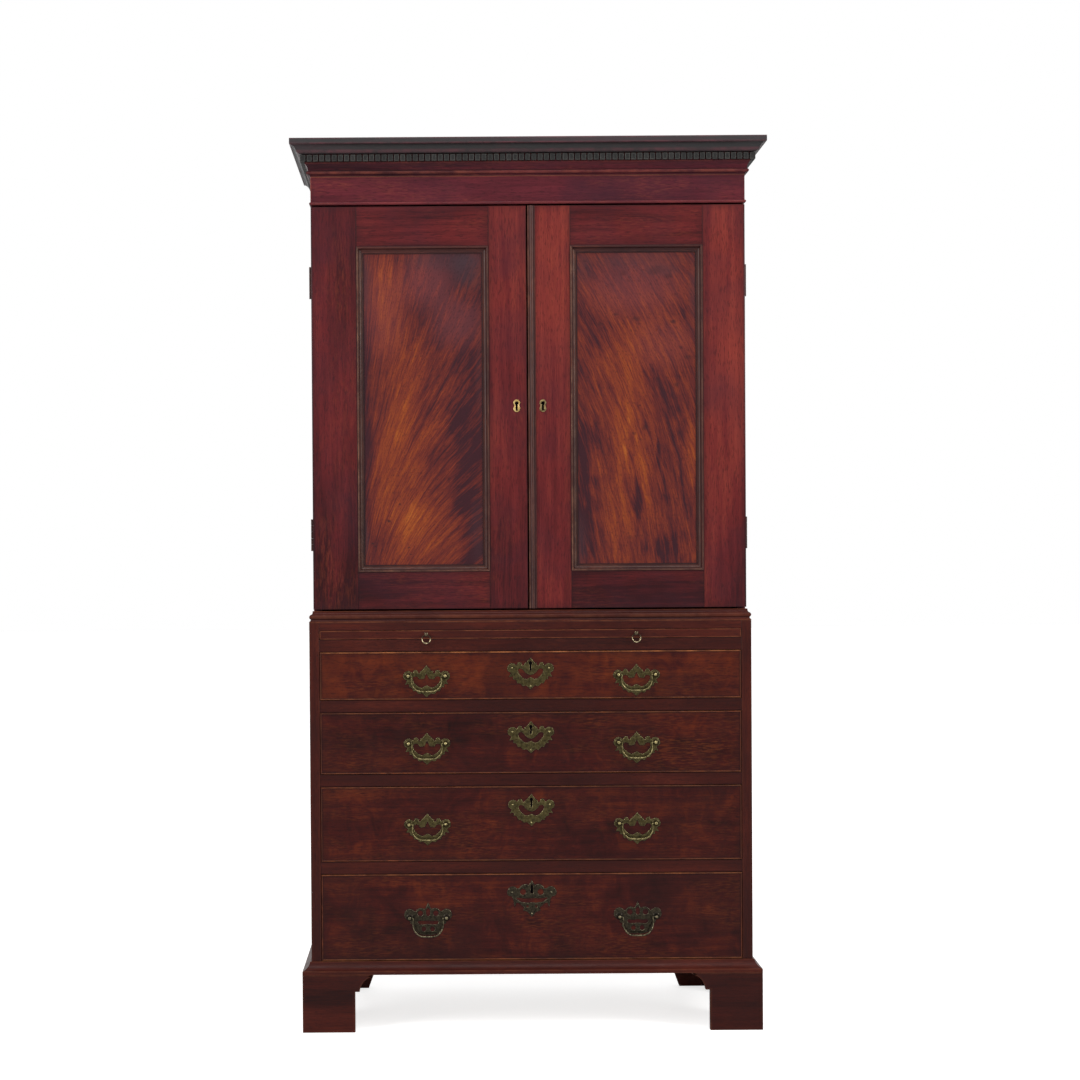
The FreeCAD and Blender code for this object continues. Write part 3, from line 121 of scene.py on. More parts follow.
def add(tree, kind, *sockets, output=0, stops=(), **settings):
    """Adds a node with its settings and links, and gives one of its outputs.

    Sockets are in order, or named in a dictionary. Stops are the places and colours of a ramp.
    """
    node = tree.nodes.new("ShaderNode" + kind)
    for name, value in settings.items():
        setattr(node, name, value)
    for place, tone in stops[2:]:
        node.color_ramp.elements.new(place)
    for element, (place, tone) in zip(node.color_ramp.elements if stops else (), stops):
        element.position = place
        element.color = linear(tone)
    named = {}
    for place, value in enumerate(sockets):
        named.update(value if isinstance(value, dict) else {place: value})
    for name, value in named.items():
        if isinstance(value, bpy.types.NodeSocket):
            tree.links.new(value, node.inputs[name])
        else:
            node.inputs[name].default_value = value
    return node.outputs[output] if node.outputs else None


def new_material(name):
    material = bpy.data.materials.new(name)
    material.use_nodes = True
    tree = material.node_tree
    tree.nodes.clear()
    shader = add(tree, "BsdfPrincipled")
    add(tree, "OutputMaterial", {"Surface": shader})
    return material, tree, shader.node.inputs


def surfaced(tree, surface, colour, layers, haze, roughness, height, strength, depth):
    """Lays colours over one another by their shares, roughens with the haze, and raises the surface by the height."""
    for share, code in layers:
        colour = add(tree, "Mix", {0: share, 6: colour, 7: linear(code)}, data_type="RGBA", output=2)
    haze = add(tree, "MapRange", haze, 0.3, 0.7, *roughness)
    bump = add(tree, "Bump", {"Strength": strength, "Distance": depth * MM, "Height": height})
    for name, value in (("Base Color", colour), ("Roughness", haze), ("Normal", bump)):
        tree.links.new(value, surface[name])


def wood(name, tones, run=None, figure=120, stripe=12, shares=(0.7, 0.4, 0.3), mottle=0.0, flecks="#8a4428",
         fleck_share=0.5, patina="#3a1822", patina_share=0.4, wear_and_painted_light="#8a4c34", dirt="#180a0e", darker_towards_foot=0.0,
         roughness=(0.28, 0.46), shine=0.16):
    """Wood whose grain runs with each board: broad figure, stripes, fibres and pores under old polish."""
    material, tree, surface = new_material(name)
    # Each board has its own place in the pattern, and its own tone.
    bare = add(tree, "TexCoord", output=3)
    tint = add(tree, "Attribute", attribute_name="tint", output=2)
    shift = add(tree, "VectorMath", (7.1, 3.7, 5.3), {"Scale": tint}, operation="SCALE")
    place = add(tree, "VectorMath", bare, shift, operation="ADD")
    along = run or add(tree, "Attribute", attribute_name="run", output=1)
    distance = add(tree, "VectorMath", place, along, operation="DOT_PRODUCT", output=1)
    lengthwise = add(tree, "VectorMath", along, {"Scale": distance}, operation="SCALE")
    across = add(tree, "VectorMath", place, lengthwise, operation="SUBTRACT")
    long, longer, short, ripple = [add(tree, "VectorMath", lengthwise, (share,) * 3, across, operation="MULTIPLY_ADD")
                                   for share in (0.16, 0.05, 0.35, 1.3)]
    # Pores are 0.3 mm wide, and drawn 2.2 mm wide so that they show.
    broad, stripes, fibres, cross, thin, fleck, pore, clouds, patches, haze = [
        add(tree, "TexNoise", {"Vector": stretched, "Scale": per(size), "Detail": detail, "Roughness": rough,
                               "Distortion": bend})
        for stretched, size, detail, rough, bend in (
            (long, figure, 3, 0.5, 0.6), (longer, stripe, 3, 0.6, 0), (longer, 2.6, 2, 0.6, 0),
            (ripple, 70, 3, 0.6, 1.2), (short, 75, 3, 0.6, 0), (long, 3.2, 2, 0.6, 0), (long, 2.2, 1, 0.4, 0),
            (place, 170, 3, 0.6, 0), (place, 45, 4, 0.7, 0), (place, 60, 4, 0.65, 0))]
    tone = add(tree, "Math", tint, 0.6, 0.5 - sum(shares) / 2 - mottle / 2, operation="MULTIPLY_ADD")
    for value, share in zip((broad, stripes, fibres, cross), (*shares, mottle)):
        tone = add(tree, "Math", value, share, tone, operation="MULTIPLY_ADD")
    # A door goes darker from 1.65 m down to 1.05 m above the floor.
    light = add(tree, "MapRange", add(tree, "SeparateXYZ", bare, output=2), 1.05, 1.65, -darker_towards_foot, 0.0)
    tone = add(tree, "Math", tone, light, operation="ADD")
    colour = add(tree, "ValToRGB", tone, stops=tuple(zip((0.2, 0.5, 0.8), tones)))
    # Where the polish is thin, short flecks of the brighter wood show along the grain.
    thin = add(tree, "MapRange", thin, 0.46, 0.68, 0.0, fleck_share)
    fleck = add(tree, "MapRange", fleck, 0.44, 0.66, 0.0, thin)
    pore = add(tree, "MapRange", pore, 0.56, 0.68, 0.0, 0.4)
    # Old polish lies darker in soft clouds.
    clouds = add(tree, "MapRange", clouds, 0.42, 0.70, 0.0, patina_share)
    # Edges are rubbed paler here and there, and inner corners and joints hold dirt. The same values also carry painted
    # highlights, made paler, and painted shade, made darker.
    edge = add(tree, "Attribute", attribute_name="wear_and_painted_light", output=2)
    patches = add(tree, "MapRange", patches, 0.40, 0.62, 0.2, 0.9)
    rubbed, dirt_and_shade = [add(tree, "Math", edge, share, operation="MULTIPLY", use_clamp=True) for share in (patches, -0.85)]
    height = add(tree, "Math", fibres, 0.4, operation="MULTIPLY")
    height = add(tree, "Math", height, pore, operation="SUBTRACT")
    surfaced(tree, surface, colour, ((fleck, flecks), (pore, dirt), (clouds, patina), (rubbed, wear_and_painted_light), (dirt_and_shade, dirt)),
             haze, roughness, height, 0.15, 0.4)
    surface["Specular IOR Level"].default_value = shine
    return material


def clouds_at(tree, place, ellipses):
    """Soft ellipses on a panel: middle across and up, half sizes across and up, in millimetres, and strength."""
    total = 0.0
    for x, z, wide, high, strength in ellipses:
        away = add(tree, "VectorMath", place, (-x * MM, 0, -z * MM), operation="ADD")
        away = add(tree, "VectorMath", away, (per(wide), 0, per(high)), operation="MULTIPLY")
        reach = add(tree, "VectorMath", away, operation="LENGTH", output=1)
        cloud = add(tree, "MapRange", reach, 1.0, 0.2, 0.0, strength, interpolation_type="SMOOTHSTEP")
        total = add(tree, "Math", total, cloud, operation="ADD")
    return total


def flame(name, flow, gold, dark, painted_rim_shade, painted_sheen, knots):
    """Flame-figured veneer: streaks that follow the crotch of the tree, golden where the wood was widest."""
    material, tree, surface = new_material(name)
    place = add(tree, "TexCoord", output=3)
    # The figure wanders by up to 11 mm either way.
    wander = add(tree, "TexNoise", {"Vector": place, "Scale": per(230), "Detail": 3}, output=1)
    wander = add(tree, "VectorMath", wander, (-0.5, -0.5, -0.5), operation="ADD")
    bent = add(tree, "VectorMath", wander, (0.022, 0.0, 0.022), place, operation="MULTIPLY_ADD")
    x, z = [add(tree, "SeparateXYZ", bent, output=axis) for axis in (0, 2)]
    across = flow(tree, x, z)
    lines, dashes = [add(tree, "CombineXYZ", across, add(tree, "Math", z, share, operation="MULTIPLY"))
                     for share in (0.09, 0.30)]
    broad, streaks, threads, bloom, dash, speck, haze = [
        add(tree, "TexNoise", {"Vector": flowing, "Scale": per(size), "Detail": detail, "Roughness": rough,
                               "Distortion": bend})
        for flowing, size, detail, rough, bend in (
            (lines, 44, 3, 0.55, 0), (lines, 12, 4, 0.65, 0.5), (lines, 3.4, 2, 0.6, 0), (bent, 60, 4, 0.6, 0),
            (dashes, 2.4, 1, 0.4, 0), (place, 3.0, 1, 0.4, 0), (place, 70, 4, 0.6, 0))]
    tone = add(tree, "Math", clouds_at(tree, bent, gold), -0.94, operation="ADD")
    for value, share in ((broad, 0.40), (streaks, 1.18), (threads, 0.64), (bloom, 0.34)):
        tone = add(tree, "Math", value, share, tone, operation="MULTIPLY_ADD")
    # The dark places are broken up by the streaks that run through them.
    broken = add(tree, "MapRange", streaks, 0.35, 0.65, 1.12, 0.8)
    shade = add(tree, "Math", clouds_at(tree, bent, dark), broken, operation="MULTIPLY")
    tone = add(tree, "Math", tone, shade, operation="SUBTRACT")
    colour = add(tree, "ValToRGB", tone, stops=(
        (0.12, "#301018"), (0.34, "#541d19"), (0.54, "#6a2a1a"), (0.74, "#7e3818"), (0.95, "#944e1e")))
    # Painted shade: a grey veil is laid over the corners and along the rim under the rails. Small ragged knots and a
    # few worm holes are near black.
    ragged = add(tree, "TexNoise", {"Vector": place, "Scale": per(20), "Detail": 3}, output=1)
    ragged = add(tree, "VectorMath", ragged, (0.014, 0.0, 0.014), place, operation="MULTIPLY_ADD")
    knot = clouds_at(tree, ragged, [(x + 7, z + 7, size, size * 0.7, strength) for x, z, size, strength in knots])
    # The pores are cut across in the crotch, so they show as specks as well as dashes.
    pore = add(tree, "Math", dash, add(tree, "Math", speck, 0.06, operation="SUBTRACT"), operation="MAXIMUM")
    pore = add(tree, "MapRange", pore, 0.56, 0.68, 0.0, 0.42)
    height = add(tree, "Math", threads, 0.3, operation="MULTIPLY")
    height = add(tree, "Math", height, pore, operation="SUBTRACT")
    # Painted reflection: a pink sheen is laid over the upper panel, where the lamps would glance off the polish.
    red, grey = clouds_at(tree, bent, painted_sheen), clouds_at(tree, bent, painted_rim_shade)
    surfaced(tree, surface, colour, ((red, "#74393a"), (grey, "#38262c"), (knot, "#2a1216"), (pore, "#240e12")), haze,
             (0.26, 0.4), height, 0.12, 0.3)
    surface["Specular IOR Level"].default_value = 0.2
    return material


def feather(tree, x, z):
    """Lines that rise from the lower left, upright at the left and leaning over to the right at the foot."""
    reach = add(tree, "Math", x, 0.438, operation="ADD")
    reach = add(tree, "Math", reach, 0.02, operation="MAXIMUM")
    reach = add(tree, "Math", reach, math.e, operation="LOGARITHM")
    height = add(tree, "Math", z, OPENING_LOW * MM, operation="SUBTRACT")
    lean = add(tree, "Math", height, -2.3, 4.5, operation="MULTIPLY_ADD")
    rise = add(tree, "Math", height, lean, operation="MULTIPLY")
    return add(tree, "Math", add(tree, "Math", reach, rise, operation="SUBTRACT"), 0.17, operation="MULTIPLY")


def falling(tree, x, z):
    """Lines that fall from the upper left to the lower right, steeper towards the foot."""
    height = add(tree, "Math", z, OPENING_LOW * MM, operation="SUBTRACT")
    lean = add(tree, "Math", height, 0.36, 0.08, operation="MULTIPLY_ADD")
    return add(tree, "Math", height, lean, x, operation="MULTIPLY_ADD")


def metal(name, tones, bright=0.6, glint="#c8b486", roughness=(0.28, 0.5), metallic=0.85):
    """Old metal, stained in blotches, brighter where hands have rubbed it and where highlights are painted on, and
    darker where shade is painted on.
    """
    material, tree, surface = new_material(name)
    place = add(tree, "TexCoord", output=3)
    stains, patches, pits = [
        add(tree, "TexNoise", {"Vector": place, "Scale": per(size), "Detail": detail, "Roughness": rough})
        for size, detail, rough in ((9, 4, 0.65), (5, 3, 0.6), (1.2, 3, 0.6))]
    colour = add(tree, "ValToRGB", stains, stops=tuple(zip((0.3, 0.52, 0.75), tones)))
    rub = add(tree, "Attribute", attribute_name="wear_and_painted_light", output=2)
    patches = add(tree, "MapRange", patches, 0.35, 0.62, 0.0, bright)
    shine, dirt_and_shade = [add(tree, "Math", rub, share, operation="MULTIPLY", use_clamp=True) for share in (patches, -0.9)]
    surfaced(tree, surface, colour, ((shine, glint), (dirt_and_shade, "#14100a")), stains, roughness, pits, 0.25, 0.15)
    surface["Metallic"].default_value = metallic
    return material


# ---------------------------------------------------------------- finishes

# Crimson stained mahogany under French polish: soft sheen, purple in the shade and orange where it is thin.
crimson_mahogany = wood("crimson mahogany, French polished", ("#280b12", "#511b23", "#6e2a2e"), stripe=9,
                        flecks="#84402e", fleck_share=0.35, patina="#2c1420", patina_share=0.6, wear_and_painted_light="#844434",
                        shine=0.13)
# The doors are a shade redder and plainer, and darker towards the foot.
door_mahogany = wood("crimson mahogany of the doors, French polished", ("#2a0a0d", "#5a1c1d", "#7c3128"),
                     shares=(0.8, 0.5, 0.25), flecks="#92442c", fleck_share=0.2, patina="#361822", patina_share=0.45,
                     wear_and_painted_light="#84483e", darker_towards_foot=0.18, shine=0.13)
# The chest was stained browner, and its polish has gone darker.
brown_mahogany = wood("dark brown mahogany, French polished", ("#1c0a09", "#39140f", "#522016"), fleck_share=0.2,
                      flecks="#6a3020", patina="#260f0e", patina_share=0.5, wear_and_painted_light="#804a30", shine=0.11)
# Mottled fronts whose brighter clouds glow orange through the brown.
drawer_mahogany = wood("brown mahogany of the drawers, French polished", ("#190808", "#39120f", "#5c2512"),
                       figure=90, shares=(0.55, 0.45, 0.22), mottle=0.6, flecks="#7a3e1c", fleck_share=0.3,
                       patina="#24100f", patina_share=0.5, wear_and_painted_light="#8c4c28", shine=0.1)
# Thin beads that show as orange lines: rubbed, and painted with a highlight where they catch the light.
bead_mahogany = wood("mahogany cockbeads rubbed orange, with painted highlights", ("#1c0a08", "#3a1810", "#5a2a18"), patina="#241010",
                     wear_and_painted_light="#a8663a", shine=0.15)
# A dark line stands round each brass: old wax and dirt, and a painted shadow round the plate.
wax_dirt_and_painted_shadow = wood("old wax and dirt round the brasses", ("#140809", "#1c0c0c", "#26120f"), fleck_share=0.0, shine=0.1)
# The cornice is ebonised: grey-black, with the red wood showing through in places.
dentil_black = wood("ebonised dentils, dusty at their edges", ("#121110", "#1a1918", "#242221"), fleck_share=0.0,
                    patina="#141313", wear_and_painted_light="#4c4a46", dirt="#060607", roughness=(0.36, 0.5), shine=0.25)
black_mahogany = wood("mahogany darkened almost black", ("#141414", "#232223", "#38242a"), fleck_share=0.15,
                      flecks="#5a2028", patina="#1e1d1e", patina_share=0.7, wear_and_painted_light="#5e2c34", roughness=(0.36, 0.5),
                      shine=0.35)
# Dark hollows between rounds that dusting has rubbed pale, with highlights painted on the rounds that face the light.
rubbed_and_lit_mahogany = wood("mahogany moulding rubbed pale on its rounds", ("#1c0c0e", "#331616", "#4c241e"),
                       wear_and_painted_light="#8a644e", patina="#1c0e10", patina_share=0.4, fleck_share=0.3, shine=0.2)
# Flame veneer glows golden in the middle of its streaks and sinks to plum at its rim.
flames = {
    "left": flame(
        "left flame mahogany veneer, French polished", feather,
        gold=((-308, 1300, 90, 300, 0.27), (-300, 1560, 60, 200, 0.20), (-240, 1180, 110, 120, 0.20),
              (-340, 1760, 50, 130, 0.24), (-230, 1420, 60, 60, 0.14)),
        dark=((-190, 1780, 130, 170, 0.22), (-392, 1450, 26, 420, 0.30), (-140, 1460, 70, 330, 0.22),
              (-150, 1273, 60, 60, 0.17), (-126, 1170, 50, 140, 0.16), (-180, 1490, 40, 24, 0.12)),
        painted_rim_shade=((-141, 1822, 60, 80, 0.6), (-210, 1840, 120, 40, 0.4), (-388, 1790, 22, 110, 0.4),
               (-392, 1180, 14, 80, 0.5), (-120, 1190, 30, 120, 0.28), (-112, 1560, 18, 200, 0.2)),
        painted_sheen=((-240, 1790, 100, 100, 0.4), (-350, 1720, 80, 160, 0.25), (-170, 1690, 90, 90, 0.35)),
        knots=((-374, 1165, 5, 0.9), (-368, 1158, 4, 0.9), (-309, 1258, 5, 0.8), (-336, 1217, 6, 0.8),
               (-288, 1152, 4, 0.8), (-283, 1138, 4, 0.8), (-378, 1560, 12, 0.3))),
    "right": flame(
        "right flame mahogany veneer, French polished", falling,
        gold=((200, 1560, 80, 150, 0.20), (240, 1400, 70, 170, 0.30), (300, 1640, 110, 120, 0.14),
              (388, 1360, 22, 130, 0.24), (215, 1200, 70, 150, 0.22), (290, 1300, 40, 160, 0.14),
              (392, 1124, 10, 14, 0.15), (340, 1240, 50, 100, 0.08)),
        dark=((128, 1385, 30, 130, 0.24), (126, 1220, 44, 130, 0.26), (226, 1480, 12, 70, 0.20),
              (244, 1376, 12, 90, 0.26), (262, 1262, 15, 100, 0.32), (276, 1170, 12, 70, 0.24),
              (312, 1376, 9, 60, 0.26), (345, 1500, 40, 50, 0.12), (330, 1150, 70, 60, 0.14),
              (250, 1800, 170, 60, 0.12)),
        painted_rim_shade=((126, 1820, 40, 60, 0.3), (320, 1812, 60, 20, 0.35), (396, 1760, 20, 110, 0.35),
               (116, 1160, 34, 110, 0.45), (260, 1840, 180, 34, 0.3)),
        painted_sheen=((250, 1780, 170, 110, 0.35), (320, 1640, 110, 90, 0.2)),
        knots=((228, 1806, 13, 0.35), (305, 1812, 22, 0.35), (335, 1797, 13, 0.4), (171, 1686, 10, 0.5),
               (209, 1708, 7, 0.6), (258, 1697, 13, 0.5), (344, 1690, 10, 0.7), (381, 1604, 14, 0.5),
               (365, 1625, 9, 0.5), (309, 1550, 9, 0.5), (354, 1538, 8, 0.6), (265, 1492, 4, 0.9),
               (278, 1437, 13, 0.5), (252, 1424, 8, 0.4), (240, 1175, 12, 0.3))),
}
# Unpolished secondary woods: matt, straw brown and dusty.
oak = wood("plain oak, dry", ("#6a4c30", "#8c6a44", "#a8865c"), run=(0, 1, 0), wear_and_painted_light="#a8865c",
           patina="#5a4430", roughness=(0.6, 0.8), flecks="#a8865c", dirt="#4a3422")
pine_up, pine_level = [
    wood(f"old pine, unpolished, {way} boards", ("#5c4028", "#7e5c38", "#98764c"), run=run, wear_and_painted_light="#98764c",
         flecks="#98764c", patina="#4a3422", dirt="#3a2818", roughness=(0.65, 0.85), figure=60)
    for way, run in (("upright", (0, 0, 1)), ("level", (1, 0, 0)))]
# Pinkish wood with no stain, where the light never reached it.
plain_red = wood("plain mahogany inside the cupboard", ("#54281e", "#74402c", "#94583c"), run=(1, 0, 0),
                 wear_and_painted_light="#94583c", patina="#4a241c", roughness=(0.5, 0.7))
# Metals: brass gone olive brown, brass kept bright by the key, brown hinges and black iron.
aged_brass = metal("cast brass, aged olive brown", ("#1f190b", "#383016", "#4c4325"), 0.8, "#b8aa78", (0.2, 0.38))
dark_brass = metal("cast brass, aged dark brown", ("#130f0a", "#201a12", "#30291d"), 0.75, "#9a8f70", (0.2, 0.38))
worn_brass = metal("cast brass, rubbed by fingers", ("#221c12", "#40362a", "#665a42"), 0.9, "#d8c49c", (0.24, 0.4))
bright_brass = metal("rolled brass, kept bright", ("#8a6c34", "#c2a05c", "#e0c68c"), roughness=(0.2, 0.34))
dull_brass = metal("rolled brass, gone dull", ("#2c2214", "#5c4a28", "#8a7244"), roughness=(0.3, 0.5))
bronze = metal("brass hinges gone dark", ("#241412", "#3a201c", "#4e3026"), 0.2, roughness=(0.4, 0.6), metallic=0.6)
iron = metal("dull iron", ("#0d0c0b", "#171513", "#262320"), 0.1, "#6a645c", (0.45, 0.65), 0.7)


# ---------------------------------------------------------------- ways of making a piece

def new_shape():
    """An empty mesh, with the values that the finishes read: rubbed edges, painted highlights and painted shade, grain
    direction and board tint.
    """
    bm = bmesh.new()
    bm.verts.layers.float.new("wear_and_painted_light")
    bm.faces.layers.float_vector.new("run")
    bm.faces.layers.float.new("tint")
    return bm


def joined_to(vert):
    """All the points of the shape that a point belongs to, and all its faces."""
    found, waiting = {vert}, [vert]
    while waiting:
        for edge in waiting.pop().link_edges:
            for near in edge.verts:
                if near not in found:
                    found.add(near)
                    waiting.append(near)
    return found, {face for near in found for face in near.link_faces}


def mark(bm, vert, run, tint):
    """Sets the grain direction and the tint of the board that a point belongs to, and gives its edges."""
    along, shade = bm.faces.layers.float_vector["run"], bm.faces.layers.float["tint"]
    faces = joined_to(vert)[1]
    for face in faces:
        face[along] = run
        face[shade] = tint
    return {edge for face in faces for edge in face.edges}


def set_wear_and_light(bm, amount, chosen=lambda place: True):
    """Sets the points' value at the places chosen: above nought rubbed or painted lit, below nought soiled or painted
    in shade.
    """
    wear_and_painted_light = bm.verts.layers.float["wear_and_painted_light"]
    for vert in bm.verts:
        if chosen(vert.co):
            vert[wear_and_painted_light] = amount


def creased(edges, degrees):
    """Keeps the edges crisp that turn by more than this."""
    for edge in edges:
        edge.smooth = edge.calc_face_angle(0) < math.radians(degrees)


def eased(bm, edges, offset, segments=2):
    """Rounds edges, and gives the points and faces of the shape they belong to."""
    made = bmesh.ops.bevel(bm, geom=edges, offset=offset, offset_type="OFFSET", segments=segments, profile=0.5,
                           affect="EDGES", material=-1)
    return joined_to(made["verts"][0])


def pushed_out(bm, outline):
    """Extrudes a face, and gives the points of its far side."""
    grown = bmesh.ops.extrude_face_region(bm, geom=[outline])["geom"]
    return [item for item in grown if isinstance(item, bmesh.types.BMVert)]


def closed_up(part, smooth=35):
    """Merges doubled points, points the faces outwards, and shades the rounds smooth."""
    bmesh.ops.remove_doubles(part, verts=part.verts, dist=0.002)
    bmesh.ops.recalc_face_normals(part, faces=part.faces)
    for face in part.faces:
        face.smooth = True
    creased(part.edges, smooth)


def mesh_of(name, bm):
    """Turns a shape into a mesh, and frees the shape."""
    mesh = bpy.data.meshes.new(name)
    bm.to_mesh(mesh)
    bm.free()
    return mesh


def placed(name, data):
    """An object in the scene."""
    item = bpy.data.objects.new(name, data)
    bpy.context.scene.collection.objects.link(item)
    return item


def absorb(bm, part):
    """Joins a closed part to a piece."""
    mesh = mesh_of("part", part)
    bm.from_mesh(mesh)
    bpy.data.meshes.remove(mesh)


def piece(name, bm, finish, *nodes, body="root", slot=None):
    """Finishes a shape that was made in millimetres. It stands for the CAD nodes named."""
    bmesh.ops.scale(bm, vec=(MM, MM, MM), verts=bm.verts)
    item = placed(name, mesh_of(name, bm))
    item.data.materials.append(finish)
    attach(item, body)
    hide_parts(*nodes)


def finish_nodes(finish, *names):
    """Gives CAD nodes a finish."""
    for name in names:
        for holder in frame["nodes"][name].material_slots:
            holder.material = finish


def board(bm, low, high, run, tint, ease=0.8, reach=4, rub=0.6, margin=0, shade=-0.3, round_side=None):
    """A squared board with eased edges, rubbed or soiled at its rim, and a band of painted shade inside the rim, within
    the margin, so that its middle looks brighter.

    A round side is the side across, -1 or 1, whose upright edges are rounded by hands.
    """
    wear_and_painted_light = bm.verts.layers.float["wear_and_painted_light"]
    corners = bmesh.ops.create_cube(bm, size=1)["verts"]
    low, high = Vector(low), Vector(high)
    bmesh.ops.scale(bm, vec=high - low, verts=corners)
    bmesh.ops.translate(bm, vec=(low + high) / 2, verts=corners)
    edges = list({edge for corner in corners for edge in corner.link_edges})
    if round_side:
        side = high.x if round_side > 0 else low.x
        upright = [edge for edge in edges if all(abs(vert.co.x - side) < 0.01 for vert in edge.verts)
                   and abs(edge.verts[0].co.z - edge.verts[1].co.z) > 1]
        faces = eased(bm, upright, 3, 4)[1]
        edges = [edge for edge in {edge for face in faces for edge in face.edges} if edge.calc_face_angle(0) > 1]
    verts, faces = eased(bm, edges, ease)
    for vert in verts:
        vert[wear_and_painted_light] = rub
    for face in faces:
        face.normal_update()
        if max(abs(part) for part in face.normal) < 0.999:
            face.smooth = True
            continue
        narrow = min(edge.calc_length() for edge in face.edges if edge.calc_length() > 2)
        inner = narrow > 2.6 * (margin + reach) and margin
        # Painted shade: the band between the rim and the margin is darkened by the shade value, leaving the middle of
        # the board brighter.
        for width, amount in ((min(reach, 0.3 * narrow), shade if inner else 0), (inner, 0)):
            if width:
                bmesh.ops.inset_individual(bm, faces=[face], thickness=width, use_even_offset=True)
                for vert in face.verts:
                    vert[wear_and_painted_light] = amount
    mark(bm, next(iter(verts)), run, tint)


def arc(start, end, bulge, steps=5, rub=0.0):
    """Points after start, up to end, rubbed most at the middle. A positive bulge is to the right of the way."""
    start, end = Vector(start[:2]), Vector(end[:2])
    half = (end - start).length / 2
    sagitta = abs(bulge)
    radius = (half * half + sagitta * sagitta) / (2 * sagitta)
    side = Vector((end.y - start.y, start.x - end.x)).normalized() * math.copysign(1, bulge)
    centre = (start + end) / 2 + side * (sagitta - radius)
    sweep = math.copysign(4 * math.atan2(sagitta, half), bulge)
    places = []
    for share in [step / steps for step in range(1, steps + 1)]:
        place = centre + Matrix.Rotation(sweep * share, 2) @ (start - centre)
        places.append((*place, rub * math.sin(math.pi * share)))
    return places


def run_together(parts):
    """One outline from single points and arcs, each point as (across, up, rubbed)."""
    points = [point for part in parts for point in (part if isinstance(part, list) else [part])]
    return [(*point, 0.0)[:3] for point in points]


def weathered(*parts, radius=0.7, fade=3.0, rub=0.7):
    """A closed outline with its outer corners rounded and rubbed, and dirt in its inner corners."""
    points = run_together(parts)
    after = points[1:] + points[:1]
    before = points[-1:] + points[:-1]
    area = sum(a[0] * b[1] - b[0] * a[1] for a, b in zip(points, after))
    result = []
    for back, here, ahead in zip(before, points, after):
        corner = Vector(here[:2])
        into, out = corner - Vector(back[:2]), Vector(ahead[:2]) - corner
        if into.angle(out) < 0.6:
            result.append(here)
            continue
        outer = into.cross(out) * area > 0
        to_back, to_ahead = -into.normalized(), out.normalized()
        first, last = corner + to_back * radius, corner + to_ahead * radius
        if into.length > 2 * (radius + fade):
            result.append((*(first + to_back * fade), here[2]))
        if outer and min(into.length, out.length) > 2 * radius:
            result += [(*first, rub), (*((first + last) / 4 + corner / 2), rub), (*last, rub)]
        else:
            result.append((*corner, rub if outer else -1))
        if out.length > 2 * (radius + fade):
            result.append((*(last + to_ahead * fade), here[2]))
    return result


def moulding(bm, points, corners, outward, up, tint=0.0, rubs=(1, 1, 1, 1)):
    """Lengths of a moulding along a path, mitred where they meet. Points are (outward, up, rubbed)."""
    wear_and_painted_light = bm.verts.layers.float["wear_and_painted_light"]
    closed = len(outward) == len(corners)
    # Beyond the ends of an open path there is nothing to meet.
    sides = [*outward, Vector((0, 0, 0))] if not closed else outward
    for index, here in enumerate(outward):
        start, end = corners[index], corners[(index + 1) % len(corners)]
        before, after = sides[index - 1], sides[(index + 1) % len(sides)]
        rim = bm.faces.new([bm.verts.new(start + (here + before) * out + up * high) for out, high, rub in points])
        for vert, (out, high, rub) in zip(rim.verts, points):
            vert[wear_and_painted_light] = rub * rubs[index] if rub > 0 else rub
        far = pushed_out(bm, rim)
        for vert in far:
            vert.co += end - start + (after - before) * (vert.co - start).dot(here)
        faces = joined_to(far[0])[1]
        bmesh.ops.recalc_face_normals(bm, faces=list(faces))
        for face in faces:
            face.normal_update()
            face.smooth = len(face.verts) == 4
        creased(mark(bm, far[0], (end - start).normalized(), tint + 0.04 * ((index * 2) % 3 - 1)), 32)


def squared(name, boards, finish, *nodes, body="root", slot=None, **edges):
    """A piece of squared boards. Each is (low corner, high corner, grain axis, tint)."""
    bm = new_shape()
    for low, high, run, tint in boards:
        board(bm, low, high, run, tint, **edges)
    piece(name, bm, finish, *nodes, body=body, slot=slot)


def mitred(name, points, path, up, finish, *nodes, body="root", slot=None, **settings):
    """A piece of moulding in mitred lengths, along a path of corners and outward directions."""
    bm = new_shape()
    moulding(bm, points, *path, up, **settings)
    piece(name, bm, finish, *nodes, body=body, slot=slot)


def round_case(half_width, front, level):
    """Corners and outward directions of a moulding round three sides of a case."""
    places = (-half_width, BACK), (-half_width, front), (half_width, front), (half_width, BACK)
    return [Vector((*place, level)) for place in places], [-X, -Y, X]


def round_opening(low_x, high_x, low_z, high_z, front):
    """Corners and inward directions of a moulding round an opening: foot, right, head, left."""
    places = (low_x, low_z), (high_x, low_z), (high_x, high_z), (low_x, high_z)
    return [Vector((x, front, z)) for x, z in places], [Z, -X, -Z, X]


